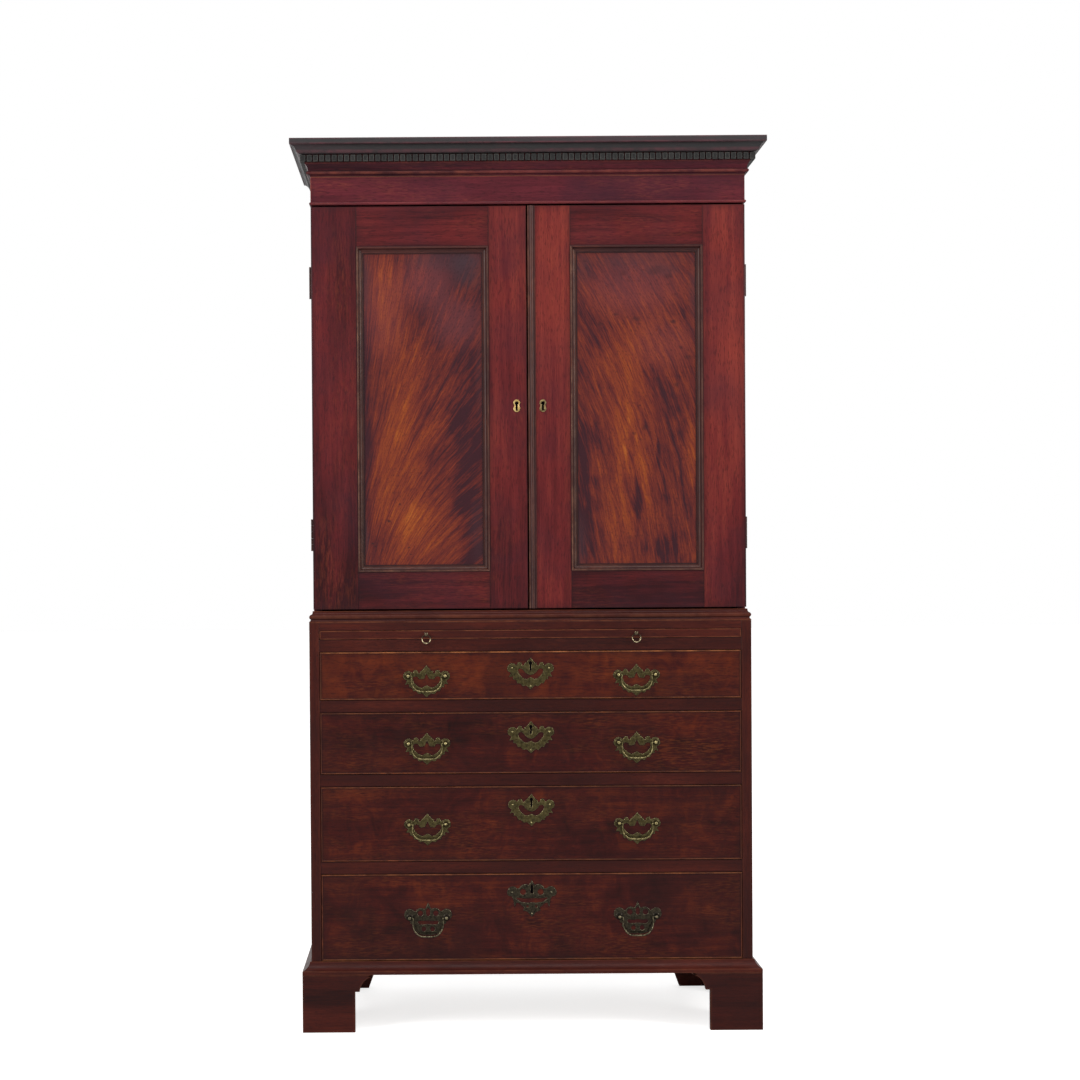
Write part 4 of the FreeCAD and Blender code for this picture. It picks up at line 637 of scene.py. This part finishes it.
def sawn(bm, outline, place, across, thickness, tint):
    """An upright board sawn to an outline. Its near face is at place; across and thickness are directions."""
    wear_and_painted_light = bm.verts.layers.float["wear_and_painted_light"]
    face = bm.faces.new([bm.verts.new(place + across * x + Z * z) for x, z, rub in outline])
    far = pushed_out(bm, face)
    bmesh.ops.translate(bm, vec=thickness, verts=far)
    faces = joined_to(far[0])[1]
    bmesh.ops.recalc_face_normals(bm, faces=list(faces))
    flat = [part for part in faces if len(part.verts) > 4 or len(outline) == 4]
    verts, faces = eased(bm, list({edge for part in flat for edge in part.edges}), 0.8)
    for vert in verts:
        vert[wear_and_painted_light] = 0.25
    for part in faces:
        part.normal_update()
        if abs(part.normal.dot(thickness.normalized())) > 0.999:
            bmesh.ops.inset_region(bm, faces=[part], thickness=3, use_even_offset=True)
            for vert in part.verts:
                vert[wear_and_painted_light] = 0
        else:
            part.smooth = True
    creased(mark(bm, next(iter(verts)), across, tint), 40)


def through_arc(start, middle, end, steps=6):
    """Points after start on the round that passes through the middle point to the end."""
    way = Vector(end) - Vector(start)
    away = Vector(middle) - Vector(start)
    side = way.cross(away) / way.length
    along = away.dot(way) / way.length
    # The round's height over its chord, from how far along the chord the middle point lies.
    half = way.length / 2
    lift = (half * half - (along - half) ** 2 - side * side) / (2 * side)
    rise = math.hypot(half, lift) - math.copysign(1, lift * side) * abs(lift)
    return [(x, y) for x, y, rub in arc(start, end, -math.copysign(rise, side), steps)]


def two_halves(*right_half):
    """A closed outline from its right half, which runs from the top to the bottom."""
    points = []
    for step in right_half:
        points += through_arc(points[-1], *step) if isinstance(step[0], tuple) else [step]
    return points + [(-x, z) for x, z in reversed(points[1:-1])]


def from_curve(curve):
    """A closed shape from a curve, which is removed."""
    holder = bpy.data.objects.new("curve", curve)
    mesh = bpy.data.meshes.new_from_object(holder)
    part = new_shape()
    part.from_mesh(mesh)
    closed_up(part, 50)
    for old, kind in ((holder, bpy.data.objects), (curve, bpy.data.curves), (mesh, bpy.data.meshes)):
        kind.remove(old)
    return part


def cut_plate(outlines, place, thickness=PLATE, edge=0.5, rub=0.1, grow=0.0):
    """A flat plate with holes, standing in front of a place. The first outline is its edge, the others its holes."""
    curve = bpy.data.curves.new("plate", "CURVE")
    curve.dimensions = "2D"
    curve.fill_mode = "BOTH"
    curve.extrude = thickness / 2 - edge
    curve.bevel_depth = edge
    curve.bevel_resolution = 1
    curve.offset = grow - edge
    for points in outlines:
        spline = curve.splines.new("POLY")
        spline.points.add(len(points) - 1)
        spline.use_cyclic_u = True
        for knot, (x, z) in zip(spline.points, points):
            knot.co = (x, z, 0, 1)
    part = from_curve(curve)
    upright = Matrix.Rotation(math.pi / 2, 4, "X")
    bmesh.ops.transform(part, matrix=Matrix.Translation(place - Y * thickness / 2) @ upright, verts=part.verts)
    set_wear_and_light(part, rub)
    if rub:
        set_wear_and_light(part, 1, lambda point: point.y > place.y - thickness + 0.1)
    return part


def lathed(profile, place, axis=-Y, steps=20, rub=0.6):
    """A part turned on a lathe. The profile is (distance along the axis, radius)."""
    part = new_shape()
    side = axis.orthogonal().normalized()
    line = [part.verts.new(place + axis * along + side * radius) for along, radius in profile]
    edges = [part.edges.new(pair) for pair in zip(line, line[1:])]
    bmesh.ops.spin(part, geom=line + edges, cent=place, axis=axis, angle=math.tau, steps=steps, use_merge=True)
    closed_up(part)
    set_wear_and_light(part, rub)
    return part


def bent_rod(points, place, rub=0.6):
    """A rod along a smooth line in an upright plane, darkened all round and bright in front, where it is rubbed and
    where a highlight is painted along it. Points are (across, up, radius).
    """
    curve = bpy.data.curves.new("rod", "CURVE")
    curve.dimensions = "3D"
    curve.bevel_depth = 1
    curve.bevel_resolution = 3
    curve.use_fill_caps = True
    curve.resolution_u = 4
    spline = curve.splines.new("NURBS")
    spline.points.add(len(points) - 1)
    for knot, (x, z, radius) in zip(spline.points, points):
        knot.co = (x, 0, z, 1)
        knot.radius = radius
    spline.order_u = 3
    spline.use_endpoint_u = True
    part = from_curve(curve)
    set_wear_and_light(part, -0.5)
    set_wear_and_light(part, rub, lambda point: point.y < -0.9)
    bmesh.ops.translate(part, vec=place, verts=part.verts)
    return part


def pierced(bm, part, outline, place):
    """Saws a keyhole through a board, from a place behind it, and joins the board to a piece."""
    tool = cut_plate([outline], place, thickness=44, edge=0.1, rub=0.5)
    blank, cutter = [placed("blank", mesh_of("blank", shape)) for shape in (part, tool)]
    cut = blank.modifiers.new("hole", "BOOLEAN")
    cut.operation = "DIFFERENCE"
    cut.solver = "EXACT"
    cut.object = cutter
    mesh = bpy.data.meshes.new_from_object(blank.evaluated_get(bpy.context.evaluated_depsgraph_get()))
    bm.from_mesh(mesh)
    for old in (mesh, blank.data, cutter.data):
        bpy.data.meshes.remove(old)


# ---------------------------------------------------------------- cupboard and cornice

CORNICE_BED = ((0, 0), arc((0, 0), (4, 5), -0.9, 3), arc((4, 5), (5, 13), 5.0, 8, 0.45),
               arc((5, 13), (13, 31), -2.2, 7), (13, 51), (0, 51))
CORNICE_CROWN = ((0, 51), (25, 51), arc((25, 51), (33, 61), 1.4, 6, 0.6), arc((33, 61), (44, 71), -1.4, 6), (0, 71))
CORNICE_FILLET = ((0, 71), (47, 71), (47, 85), (0, 85))
DENTIL_BACK, DENTIL_REACH, DENTIL_GAP, DENTIL_PITCH = 13, 23, 3, 14.7
DENTIL_LOW, DENTIL_HIGH = FRIEZE_TOP + 33, FRIEZE_TOP + 49


def cupboard():
    for side, word in SIDES:
        near, far = sorted((side * CUPBOARD_INSIDE, side * CUPBOARD))
        squared(f"cupboard_{word}_side", [((near, CASE_FRONT, CHEST_TOP), (far, BACK, FRIEZE_TOP), Z, side * 0.1)],
                crimson_mahogany, f"upper_side_{word}")
    squared("cupboard_plinth", [((-CUPBOARD, DOOR_FRONT, CHEST_TOP), (CUPBOARD, CASE_FRONT, WAIST_TOP), X, -0.1)],
            brown_mahogany, "upper_plinth_strip", slot="upper_mahogany")
    bm = new_shape()
    board(bm, (-CUPBOARD, DOOR_FRONT, BEAD_FOOT), (CUPBOARD, CASE_FRONT, FRIEZE_TOP), X, 0.0, 0.6, 3, margin=8)
    bead = [(0, 0, -1), *arc((0, 0), (0, 7), 3, 8, 0.15), (-1, 7, 0), (-1, 0, 0)]
    moulding(bm, bead, *round_case(CUPBOARD, DOOR_FRONT, BEAD_FOOT), Z)
    piece("frieze_and_bead", bm, crimson_mahogany, "frieze")


def cornice():
    path = round_case(CUPBOARD, DOOR_FRONT, FRIEZE_TOP)
    mitred("cornice_bed", weathered(*CORNICE_BED, rub=0.25), path, Z, crimson_mahogany, "cornice_moulding",
           tint=-0.3, slot="upper_mahogany")
    for word, outline, tint in (("crown", CORNICE_CROWN, 0.0), ("top_fillet", CORNICE_FILLET, 0.05)):
        mitred(f"cornice_{word}", weathered(*outline, radius=1.0), path, Z, black_mahogany, "cornice_moulding",
               tint=tint)
    corner, front = CUPBOARD + DENTIL_REACH, DOOR_FRONT - DENTIL_REACH
    dentils = []
    for first, last in ((-corner, corner), (front, BACK)):
        count = round((last - first) / DENTIL_PITCH)
        step = (last - first) / count
        for index in range(count):
            start = first + index * step + DENTIL_GAP / 2
            end = first + (index + 1) * step - DENTIL_GAP / 2
            tint = (index * 0.618) % 0.5 - 0.25
            if last == corner:
                # Those at the corners fill them.
                start, end = start if index else first, end if index < count - 1 else last
                dentils.append(((start, front, DENTIL_LOW), (end, DOOR_FRONT - DENTIL_BACK, DENTIL_HIGH), Z, tint))
            elif index:
                for side, word in SIDES:
                    near, far = sorted((side * (CUPBOARD + DENTIL_BACK), side * corner))
                    dentils.append(((near, start, DENTIL_LOW), (far, end, DENTIL_HIGH), Z, tint))
    squared("dentils", dentils, dentil_black, "dentil_course", reach=2.5)


# ---------------------------------------------------------------- keyholes and locks

KEYHOLE = [(2.6, -3.8), (2.6, -18), (-2.6, -18), (-2.6, -3.8),
           *through_arc((-2.6, -3.8), (-4.6, 0), (0, 4.6), 5), *through_arc((0, 4.6), (4.6, 0), (2.6, -3.8), 5)[:-1]]
KEY_SLOT = [(3.4, -17), (-3.4, -17), *through_arc((-3.4, 1), (0, 4), (3.4, 1), 6)]
ESCUTCHEON = two_halves((0, 9), ((5.66, 6.66), (8, 1)), ((7.5, -1.7), (6.1, -4.1)), (6.1, -7.9),
                        ((7.5, -10.3), (8, -13)), ((5.66, -18.66), (0, -21)))
SCREW_HEAD = [(-1, 0), (-1, 3.6), (0.5, 3.6), (1.0, 2.6), (1.2, 0)]


def lock_case(low, node, body):
    """An iron lock case, 70 mm wide and 50 mm high, with two screw heads on its back plate."""
    bm = new_shape()
    board(bm, low, low + Vector((70, LOCK_DEPTH, 50)), X, 0, reach=2, rub=0.5)
    for x in (11.2, 58.8):
        absorb(bm, lathed(SCREW_HEAD, low + Vector((x, LOCK_DEPTH, 25)), Y, 14, 0.4))
    piece(f"{body}_lock_case", bm, iron, node, body=body)


# ---------------------------------------------------------------- doors

# Rubbed on the outer flat, on its inner edge and on the round, with dirt between them.
PANEL_MOULDING = [(0, 0, -1), (0, 10.3, -1), (0.8, 10.5, 0), (1.4, 10.5, 1), (2.6, 10.5, 0.8), (3.2, 10.5, 0),
                  (4.0, 10.4, 0.2), (4.7, 9.9, 0.9), (5.1, 9.0, -0.6), (5.5, 7.0, -1),
                  *arc((5.5, 7.0), (14.4, 2.6), 2.2, 9, 0.32), (14.9, 1.7, -1), (16, 1.6, -0.5), (17, 1.6, -0.8),
                  (17, 0, -1)]
MEETING_BEAD = [(0, 0, -1), (18, 0, -1), (18, 2, 0.1), (15, 2, 0), (14, 2, -1), *arc((14, 2), (4, 2), 3, 8, 0.3),
                (4, 2, -1), (3, 2, 0.5), (1, 2, 1), (0, 2, 1)]
# Of the hinge stile, the meeting stile, the foot rail and the head rail.
DOOR_TINTS = {"left": (-0.1, -0.04, -0.04, -0.2), "right": (0.12, 0.2, 0.04, -0.16)}


def doors():
    for side, word in SIDES:
        body = f"{word}_door"
        low_x, high_x = OPENINGS[word]
        outer, inner = (low_x, high_x) if side < 0 else (high_x, low_x)
        hinge_tint, meeting_tint, foot_tint, head_tint = DOOR_TINTS[word]
        rim = {"ease": 0.5, "reach": 2, "rub": -0.7, "margin": 16}
        bm, stile = new_shape(), new_shape()
        for shape, ends, tint, round_side in ((bm, (side * CUPBOARD, outer), hinge_tint, side),
                                              (stile, (MEETING[word], inner), meeting_tint, None)):
            near, far = sorted(ends)
            board(shape, (near, DOOR_FRONT, DOOR_FOOT), (far, DOOR_BACK, DOOR_HEAD), Z, tint, round_side=round_side,
                  **rim)
        keyhole = Vector((DOOR_KEYHOLES[word], DOOR_FRONT, DOOR_KEYHOLE_Z))
        pierced(bm, stile, KEYHOLE, keyhole + Y * 33)
        for low, high, tint in ((DOOR_FOOT, OPENING_LOW, foot_tint), (OPENING_HIGH, DOOR_HEAD, head_tint)):
            board(bm, (low_x, DOOR_FRONT, low), (high_x, DOOR_BACK, high), X, tint, **rim)
        piece(f"{body}_stiles_and_rails", bm, door_mahogany, f"{body}_frame", body=body)
        squared(f"{body}_flame_panel",
                [((low_x - 6, PANEL_FACE, OPENING_LOW - 6), (high_x + 6, PANEL_FACE + 7, OPENING_HIGH + 6), Z, 0)],
                flames[word], f"{body}_panel", body=body)
        # Painted highlights: the left and foot lengths of each panel moulding are painted paler than the right, and the
        # head length hardly at all, by where the light falls.
        mitred(f"{body}_panel_moulding", PANEL_MOULDING,
               round_opening(low_x, high_x, OPENING_LOW, OPENING_HIGH, PANEL_FACE), -Y, rubbed_and_lit_mahogany,
               f"{body}_moulding", body=body, rubs=(0.5, 0.3, 0.05, 0.75))
        piece(f"{body}_escutcheon", cut_plate([ESCUTCHEON, KEYHOLE], keyhole, rub=0.5),
              bright_brass if side < 0 else dull_brass, f"{body}_lock", body=body)
        lock_case(Vector((min(MEETING[word], MEETING[word] + side * 70), DOOR_BACK, DOOR_KEYHOLE_Z - 25)),
                  f"{body}_lock", body)
    path = [Vector((MEETING["right"], DOOR_FRONT, z)) for z in (DOOR_FOOT, DOOR_HEAD)], [X]
    mitred("meeting_bead", MEETING_BEAD, path, -Y, rubbed_and_lit_mahogany, "right_door_astragal", body="right_door",
           rubs=(0.4,))


# ---------------------------------------------------------------- chest

WAIST = ((0, 0), (10, 0), (10, 3), arc((10, 3), (6.5, 8.5), -1.0, 4), arc((6.5, 8.5), (6.5, 19.5), 3.3, 8, 0.25),
         (5, 20), arc((5, 20), (2, 26), -0.9, 4), (2.4, 28), (0, 28))
BASE = ((0, 0), (21, 0), (21, 9), arc((21, 9), (4, 27), -3, 7), (4, 30), (0, 30))


def chest():
    for side, word in SIDES:
        near, far = sorted((side * CHEST_INSIDE, side * CHEST))
        squared(f"chest_{word}_side", [((near, CHEST_FRONT, FEET_TOP), (far, BACK, CHEST_TOP), Z, side * -0.05)],
                brown_mahogany, f"lower_side_{word}", rub=0.1)
    squared("chest_top",
            [((-CHEST_INSIDE, CHEST_FRONT, SLIDE_HIGH), (CHEST_INSIDE, CHEST_TOP_BACK, CHEST_TOP), X, 0.1)],
            brown_mahogany, "lower_top_board", rub=-0.2)
    rails = []
    for number, (low, high) in DRAWERS.items():
        above = DRAWERS[number - 1][0] if number > 1 else SLIDE_LOW
        rails.append(((-CHEST_INSIDE, CHEST_FRONT, high), (CHEST_INSIDE, RAIL_BACK, above), X,
                      0.05 * (number % 3) - 0.15))
    squared("drawer_dividers", rails, brown_mahogany, "drawer_rails", rub=-0.4, reach=2)
    mitred("waist_moulding_lengths", weathered(*WAIST, radius=0.6, fade=2, rub=0.4),
           round_case(CUPBOARD, DOOR_FRONT, CHEST_TOP), Z, brown_mahogany, "waist_moulding", slot="upper_mahogany")
    mitred("base_moulding_lengths", weathered(*BASE, radius=0.8, rub=0.25), round_case(CHEST, CHEST_FRONT, FEET_TOP),
           Z, brown_mahogany, "base_moulding", tint=-0.05)


# Right halves of the brass plates and their holes, in millimetres from the line of the posts.
SCROLL_EDGE = (
    (0, 24.6), (3.5, 20), (10.5, 12.5), (15, 9.5), ((17.5, 5.5), (21, 7.5)), ((26, 13.5), (31.5, 8)), (34.5, 6.2),
    ((44, 11), (54.8, 0.5)), ((53.5, -6.5), (48.5, -9.5)), (46.5, -12.5), (50.8, -20.5), (44, -19), (40.5, -21.5),
    (42, -26.5), (36, -27), (33.5, -30), (31, -36.8), (25.5, -35.5), (22, -39), ((17, -43), (12.5, -41)), (8, -43.5),
    (0, -51),
)
SCROLL_STAR = ((0, 7.5), (6.5, -7), (17.5, -8), (21, -2), (27, -0.5), (32, -2.5), (33.5, -8), (31, -16), (24, -23.5),
               (17, -27.5), (12, -29.5), (8, -27.5), (4, -25), (0, -23.5))
SCROLL_CRESCENT = ((0, -16.5), (6, -15), (13, -10), (17, -4.5), (20, -1.5), (26, -0.5), (31, -4), (29.5, -12),
                   (23, -20), (16, -25.5), (9, -27), (4, -24.5), (0, -22.5))
CROWN_EDGE = (
    (0, 34), (2.5, 28), (5, 22), (9, 19), ((19, 21.5), (27.5, 16)), (30, 12.5), (36, 16.5), ((47, 19.5), (56, 9)),
    ((54, -2), (47, -6.5)), (43, -9), (41, -15.5), (36.5, -16.5), (37.5, -24), (31, -33), ((16, -41), (0, -41)),
)
CROWN_OVAL = ((0, 23), ((4.4, 19), (5, 12)), ((4.4, 5), (0, 2)))
CROWN_SLOT = ((0, -7), (10, -8.5), (23, -7.5), (26, -12), (21, -18), (8, -17.5), (0, -16.5))
CROWN_KEY_EDGE = (
    (0, 23), (2.5, 17), (7, 11), ((18, 13), (30, 3)), (36, 3), ((46, 8), (57, -1)), ((58, -10), (48, -15)), (44, -22),
    (41, -39.5), (37, -30), (31, -31), (24, -37), (18, -42), (20, -49), (10, -52), (0, -63.5),
)
CROWN_KEY_CRESCENT = ((0, -19.5), (20, -20), (36, -17.5), (38, -21), (27, -29), (10, -31.5), (0, -30.5))
POST_PROFILE = [(-23, 0), (-23, 2.5), (1.2, 2.5), (1.2, 8.4), (2.4, 8.8), (3.4, 7.6), (4.2, 4.6), (6.4, 3.2),
                (8.8, 3.3)] + [(15 - 6 * math.cos(turn), 6 * math.sin(turn))
                               for turn in (0.62, 0.9, 1.2, 1.57, 1.94, 2.3, 2.65, 2.9, math.pi)]
PIN_PROFILE = [(0.8, 0), (0.8, 2.0), (1.9, 1.9), (2.4, 1.2), (2.6, 0)]
EYE_PROFILE = [(-12, 0), (-12, 1.3), (0, 1.3), (0, 4.6), (0.9, 4.4), (1.4, 2.4), (5.4, 1.9), (6.2, 2.9), (9, 3.9),
               (11.2, 2.9), (12.2, 0)]


def rounds(across, up, radius):
    """A pair of round holes."""
    turns = [index * math.tau / 16 for index in range(16)]
    return [[(side * across + radius * math.cos(turn), up + radius * math.sin(turn)) for turn in turns]
            for side in (-1, 1)]


# The bottom drawer's brasses are of another pattern than the rest.
HANDLE_PLATES = {False: [two_halves(*SCROLL_EDGE), two_halves(*SCROLL_STAR)],
                 True: [two_halves(*CROWN_EDGE), two_halves(*CROWN_OVAL), two_halves(*CROWN_SLOT),
                        *rounds(18.6, 9.6, 7.2), *rounds(10.4, -28, 6.2)]}
KEY_PLATES = {False: [two_halves(*SCROLL_EDGE), two_halves(*SCROLL_CRESCENT)],
              True: [two_halves(*CROWN_KEY_EDGE), two_halves(*CROWN_KEY_CRESCENT), *rounds(21, -4.7, 7.9),
                     *rounds(10.5, -39.5, 3.8)]}
PINS = {False: ((-44, 0), (44, 0), (0, -43)), True: ((-47, -6), (47, -6), (0, -57))}
DRAWER_TINTS = {1: 0.16, 2: -0.06, 3: 0.0, 4: -0.04}
# Of the cockbeads at foot, right, head and left: wear, with a painted highlight that is strongest on the heads.
BEAD_WEAR_AND_HIGHLIGHTS = {1: (0.25, 0.06, 0.7, 0.12), 2: (0.2, 0.05, 0.25, 0.06), 3: (0.2, 0.05, 0.22, 0.06),
             4: (0.3, 0.06, 0.4, 0.06)}
COCKBEAD = [(0, 0, 0), (0, 20, 0.2), *[(x, y, 1) for x, y, rub in arc((0, 20), (3.2, 20), -1.6, 6)], (3.2, 0, 0)]


def bail(drop):
    """A bail's line: hooked ends in the posts, bowed arms, and a foot that is thickest in the middle."""
    half = [(40.4, 0, 1.4), (37.4, 0, 1.4), (34.8, -0.5, 1.5), (36.6, -drop * 0.3, 1.5), (34.8, -drop * 0.6, 1.6),
            (27.5, -drop * 0.86, 1.9), (17, -drop, 2.1), (6, -drop * 1.01, 2.2)]
    return half + [(-x, z, radius) for x, z, radius in reversed(half)]


def brass_plate(bm, dark_rim, outlines, place):
    """Joins a plate to the brasses, and the dark line round it, old polish and dirt with a painted shadow, to the dark
    rim.
    """
    absorb(bm, cut_plate(outlines, place))
    absorb(dark_rim, cut_plate(outlines, place, RIM_THICKNESS, edge=0.1, rub=0, grow=0.9))


def post_and_nut(bm, middle):
    """Joins a bail's post, darkened, with a painted highlight on the tip of its ball, and the nut behind the drawer
    front.
    """
    # Painted highlight: the post is darkened all over and the tip of its ball painted bright, as a lamp would shine in
    # it.
    post = lathed(POST_PROFILE, middle, rub=-0.35)
    set_wear_and_light(post, 1, lambda point: point.y < CHEST_FRONT - 19.4)
    absorb(bm, post)
    nut = new_shape()
    bmesh.ops.create_cone(nut, cap_ends=True, segments=6, radius1=6.5, radius2=6.5, depth=3)
    eased(nut, list(nut.edges), 0.4, 1)
    bmesh.ops.rotate(nut, matrix=Matrix.Rotation(math.pi / 2, 3, "X"), verts=nut.verts)
    bmesh.ops.translate(nut, vec=(middle.x, DRAWER_INSIDE + 1.5, middle.z), verts=nut.verts)
    absorb(bm, nut)


def drawers():
    for number, (low, high) in DRAWERS.items():
        body = f"drawer_{number}"
        # The beads leave 1 mm of air round the front, and stand 1 mm over the board.
        low, high = low + 1, high - 1
        half = CHEST_INSIDE - 1
        deep = number == 4
        keyhole = Vector((0, CHEST_FRONT, high - KEYHOLE_DROP[number]))
        outline, plate_drop, bail_drop, brass = (KEY_SLOT, 8, 44, dark_brass) if deep else (KEYHOLE, 12, 37, aged_brass)
        bm, front = new_shape(), new_shape()
        board(front, (1 - half, CHEST_FRONT, low + 1), (half - 1, DRAWER_INSIDE, high - 1), X, DRAWER_TINTS[number],
              0.4, 5, -0.9, margin=14, shade=-0.2)
        pierced(bm, front, outline, keyhole + Y * 32)
        piece(f"{body}_front_board", bm, drawer_mahogany, f"{body}_front", body=body)
        mitred(f"{body}_cockbeads", COCKBEAD, round_opening(-half, half, low, high, DRAWER_INSIDE), -Y, bead_mahogany,
               f"{body}_front", body=body, rubs=BEAD_WEAR_AND_HIGHLIGHTS[number])
        bm, dark_rim = new_shape(), new_shape()
        plate = keyhole - Z * plate_drop
        brass_plate(bm, dark_rim, [*KEY_PLATES[deep], [(x, z + plate_drop) for x, z in outline]], plate)
        for x, z in PINS[deep]:
            absorb(bm, lathed(PIN_PROFILE, plate + X * x + Z * z, steps=10, rub=1))
        for word, x in HANDLES.items():
            middle = Vector((x, CHEST_FRONT, PIVOTS[number]))
            brass_plate(bm, dark_rim, HANDLE_PLATES[deep], middle)
            for side in (-1, 1):
                post_and_nut(bm, middle + X * side * POST)
            piece(f"{body}_{word}_bail", bent_rod(bail(bail_drop), (x, PIVOT_Y, PIVOTS[number]), 0.7), brass,
                  f"{body}_bail_{word}", body=f"{body}_bail_{word}")
        piece(f"{body}_plates_and_posts", bm, brass, f"{body}_brasses", body=body)
        piece(f"{body}_dark_rim_round_brasses", dark_rim, wax_dirt_and_painted_shadow, f"{body}_brasses", body=body)
        lock_case(Vector((-35, DRAWER_INSIDE, keyhole.z - 33)), f"{body}_brasses", body)


def slide():
    half = CHEST_INSIDE - SLIDE_AIR
    squared("slide_clamp",
            [((-half, CHEST_FRONT, SLIDE_LOW + SLIDE_AIR), (half, SLIDE_BACK, SLIDE_HIGH - SLIDE_AIR), X, 0.12)],
            brown_mahogany, "slide_board", body="slide", reach=2, rub=0.7)
    eyes = new_shape()
    depth, level = RING_PIVOT
    for word, x in HANDLES.items():
        absorb(eyes, lathed(EYE_PROFILE, Vector((x, CHEST_FRONT, level)), steps=14, rub=0.2))
        for lean in (-1, 1):
            absorb(eyes, bent_rod([(lean * 1.6, -1, 1.5), (lean * 2.2, 3, 1.4), (lean * 4, 5.5, 0.9)],
                                  (x, depth, level)))
        ring = bent_rod([(10.2 * math.sin(turn), 10.2 * math.cos(turn) - 10.5, 1.45 - 0.3 * math.cos(turn))
                         for turn in (math.tau * step / 16 for step in range(17))], (x, depth, level), 1)
        # Painted shade: the ring's upper half is darkened, against its bright lower half.
        set_wear_and_light(ring, -0.6, lambda point: point.z > level - 8)
        piece(f"slide_pull_ring_{word}", ring, worn_brass, f"slide_ring_{word}", body=f"slide_ring_{word}")
    piece("slide_ring_eyes_and_prongs", eyes, worn_brass, "slide_ring_eyes", body="slide")


BRACKET = run_together([(0, 0), (125, 0), (125, 97), (136, 97), arc((136, 97), (168, 134), -8, 8), (168, 137),
                        (0, 137)])
REAR_BRACKET = run_together([(0, 0), (140, 0), (190, 137), (0, 137)])


def feet():
    front = CHEST_FRONT - FOOT_REACH
    for side, word in SIDES:
        inward = -side * X
        for name, outline, y, across, thickness, tint in (
                (f"front_{word}_bracket", BRACKET, front, inward, Y, -0.12),
                (f"front_{word}_side_bracket", BRACKET, front + FOOT_BOARD, Y, inward, -0.05),
                # Painted light: the rear brackets are tinted lighter, against the shade they stand in.
                (f"rear_{word}_bracket", REAR_BRACKET, BACK, inward, -Y, 0.3),
                (f"rear_{word}_side_bracket", BRACKET, BACK - FOOT_BOARD, -Y, inward, 0.3)):
            bm = new_shape()
            place = Vector((side * (CHEST + FOOT_REACH), y, 0))
            sawn(bm, outline, place, across, FOOT_BOARD * thickness, tint)
            piece(name, bm, brown_mahogany, f"{name.split('_')[0]}_feet")


def inside():
    finish_nodes(pine_up, "lower_back_boards", "upper_back_boards")
    finish_nodes(pine_level, "cornice_frame", "dust_boards", "lower_bottom_board", "upper_top_board")
    finish_nodes(oak, "tray_runners", *[f"drawer_{number}_box" for number in DRAWERS])
    finish_nodes(plain_red, "upper_bottom_board", "linen_trays")
    finish_nodes(bronze, "case_hinge_leaves", "hinge_pins", "left_door_hinge_leaves", "right_door_hinge_leaves")


# ---------------------------------------------------------------- camera, light, floor

def stage():
    scene = bpy.context.scene
    scene.view_settings.view_transform = "Standard"
    lens = bpy.data.cameras.new("camera")
    lens.lens = 74.678
    lens.sensor_width = 36
    lens.shift_x = 0.09307
    lens.shift_y = 0.05
    lens.clip_end = 60
    camera = placed("camera", lens)
    pitch, roll = math.radians(-0.892), math.radians(-0.380)
    camera.matrix_world = (Matrix.Translation((-0.2158, -5.5967, 1.1258))
                           @ Matrix.Rotation(math.pi / 2 + pitch, 4, "X") @ Matrix.Rotation(roll, 4, "Z"))
    scene.camera = camera
    world = bpy.data.worlds.new("studio")
    scene.world = world
    world.use_nodes = True
    tree = world.node_tree
    tree.nodes.clear()
    seen, glossy, through = [add(tree, "LightPath", output=name) for name in
                             ("Is Camera Ray", "Is Glossy Ray", "Is Transmission Ray")]
    seen = add(tree, "Math", seen, add(tree, "Math", glossy, through, operation="MAXIMUM"), operation="MAXIMUM")
    soft, white = [add(tree, "Background", {"Color": (1, 1, 1, 1), "Strength": strength}) for strength in (0.40, 1.0)]
    add(tree, "OutputWorld", {"Surface": add(tree, "MixShader", seen, soft, white)})
    for name, place, target, size, power in (
            ("left softbox", (-3.6, -3.2, 2.6), (0, -0.2, 1.1), (1.6, 2.6), 120),
            ("right softbox", (3.8, -3.0, 2.8), (0, -0.2, 1.2), (1.4, 2.4), 110),
            ("overhead", (0.0, -2.2, 4.6), (0, 0, 1.0), (3.0, 1.6), 60)):
        light = bpy.data.lights.new(name, "AREA")
        light.shape = "RECTANGLE"
        light.size, light.size_y = size
        light.energy = power
        lamp = placed(name, light)
        lamp.location = place
        lamp.rotation_euler = (Vector(target) - Vector(place)).to_track_quat("-Z", "Y").to_euler()
    bm = bmesh.new()
    bmesh.ops.create_grid(bm, x_segments=1, y_segments=1, size=30)
    floor = placed("floor", mesh_of("floor", bm))
    material, tree, surface = new_material("white floor")
    for name, value in (("Base Color", (0.86, 0.86, 0.86, 1)), ("Roughness", 0.55), ("Specular IOR Level", 0.15),
                        ("Emission Color", (1, 1, 1, 1))):
        surface[name].default_value = value
    seen = add(tree, "LightPath", output="Is Camera Ray")
    tree.links.new(add(tree, "Math", seen, 0.72, operation="MULTIPLY"), surface["Emission Strength"])
    floor.data.materials.append(material)


for make in (stage, inside, cupboard, cornice, doors, chest, drawers, slide, feet):
    make()

bpy.context.view_layer.update()
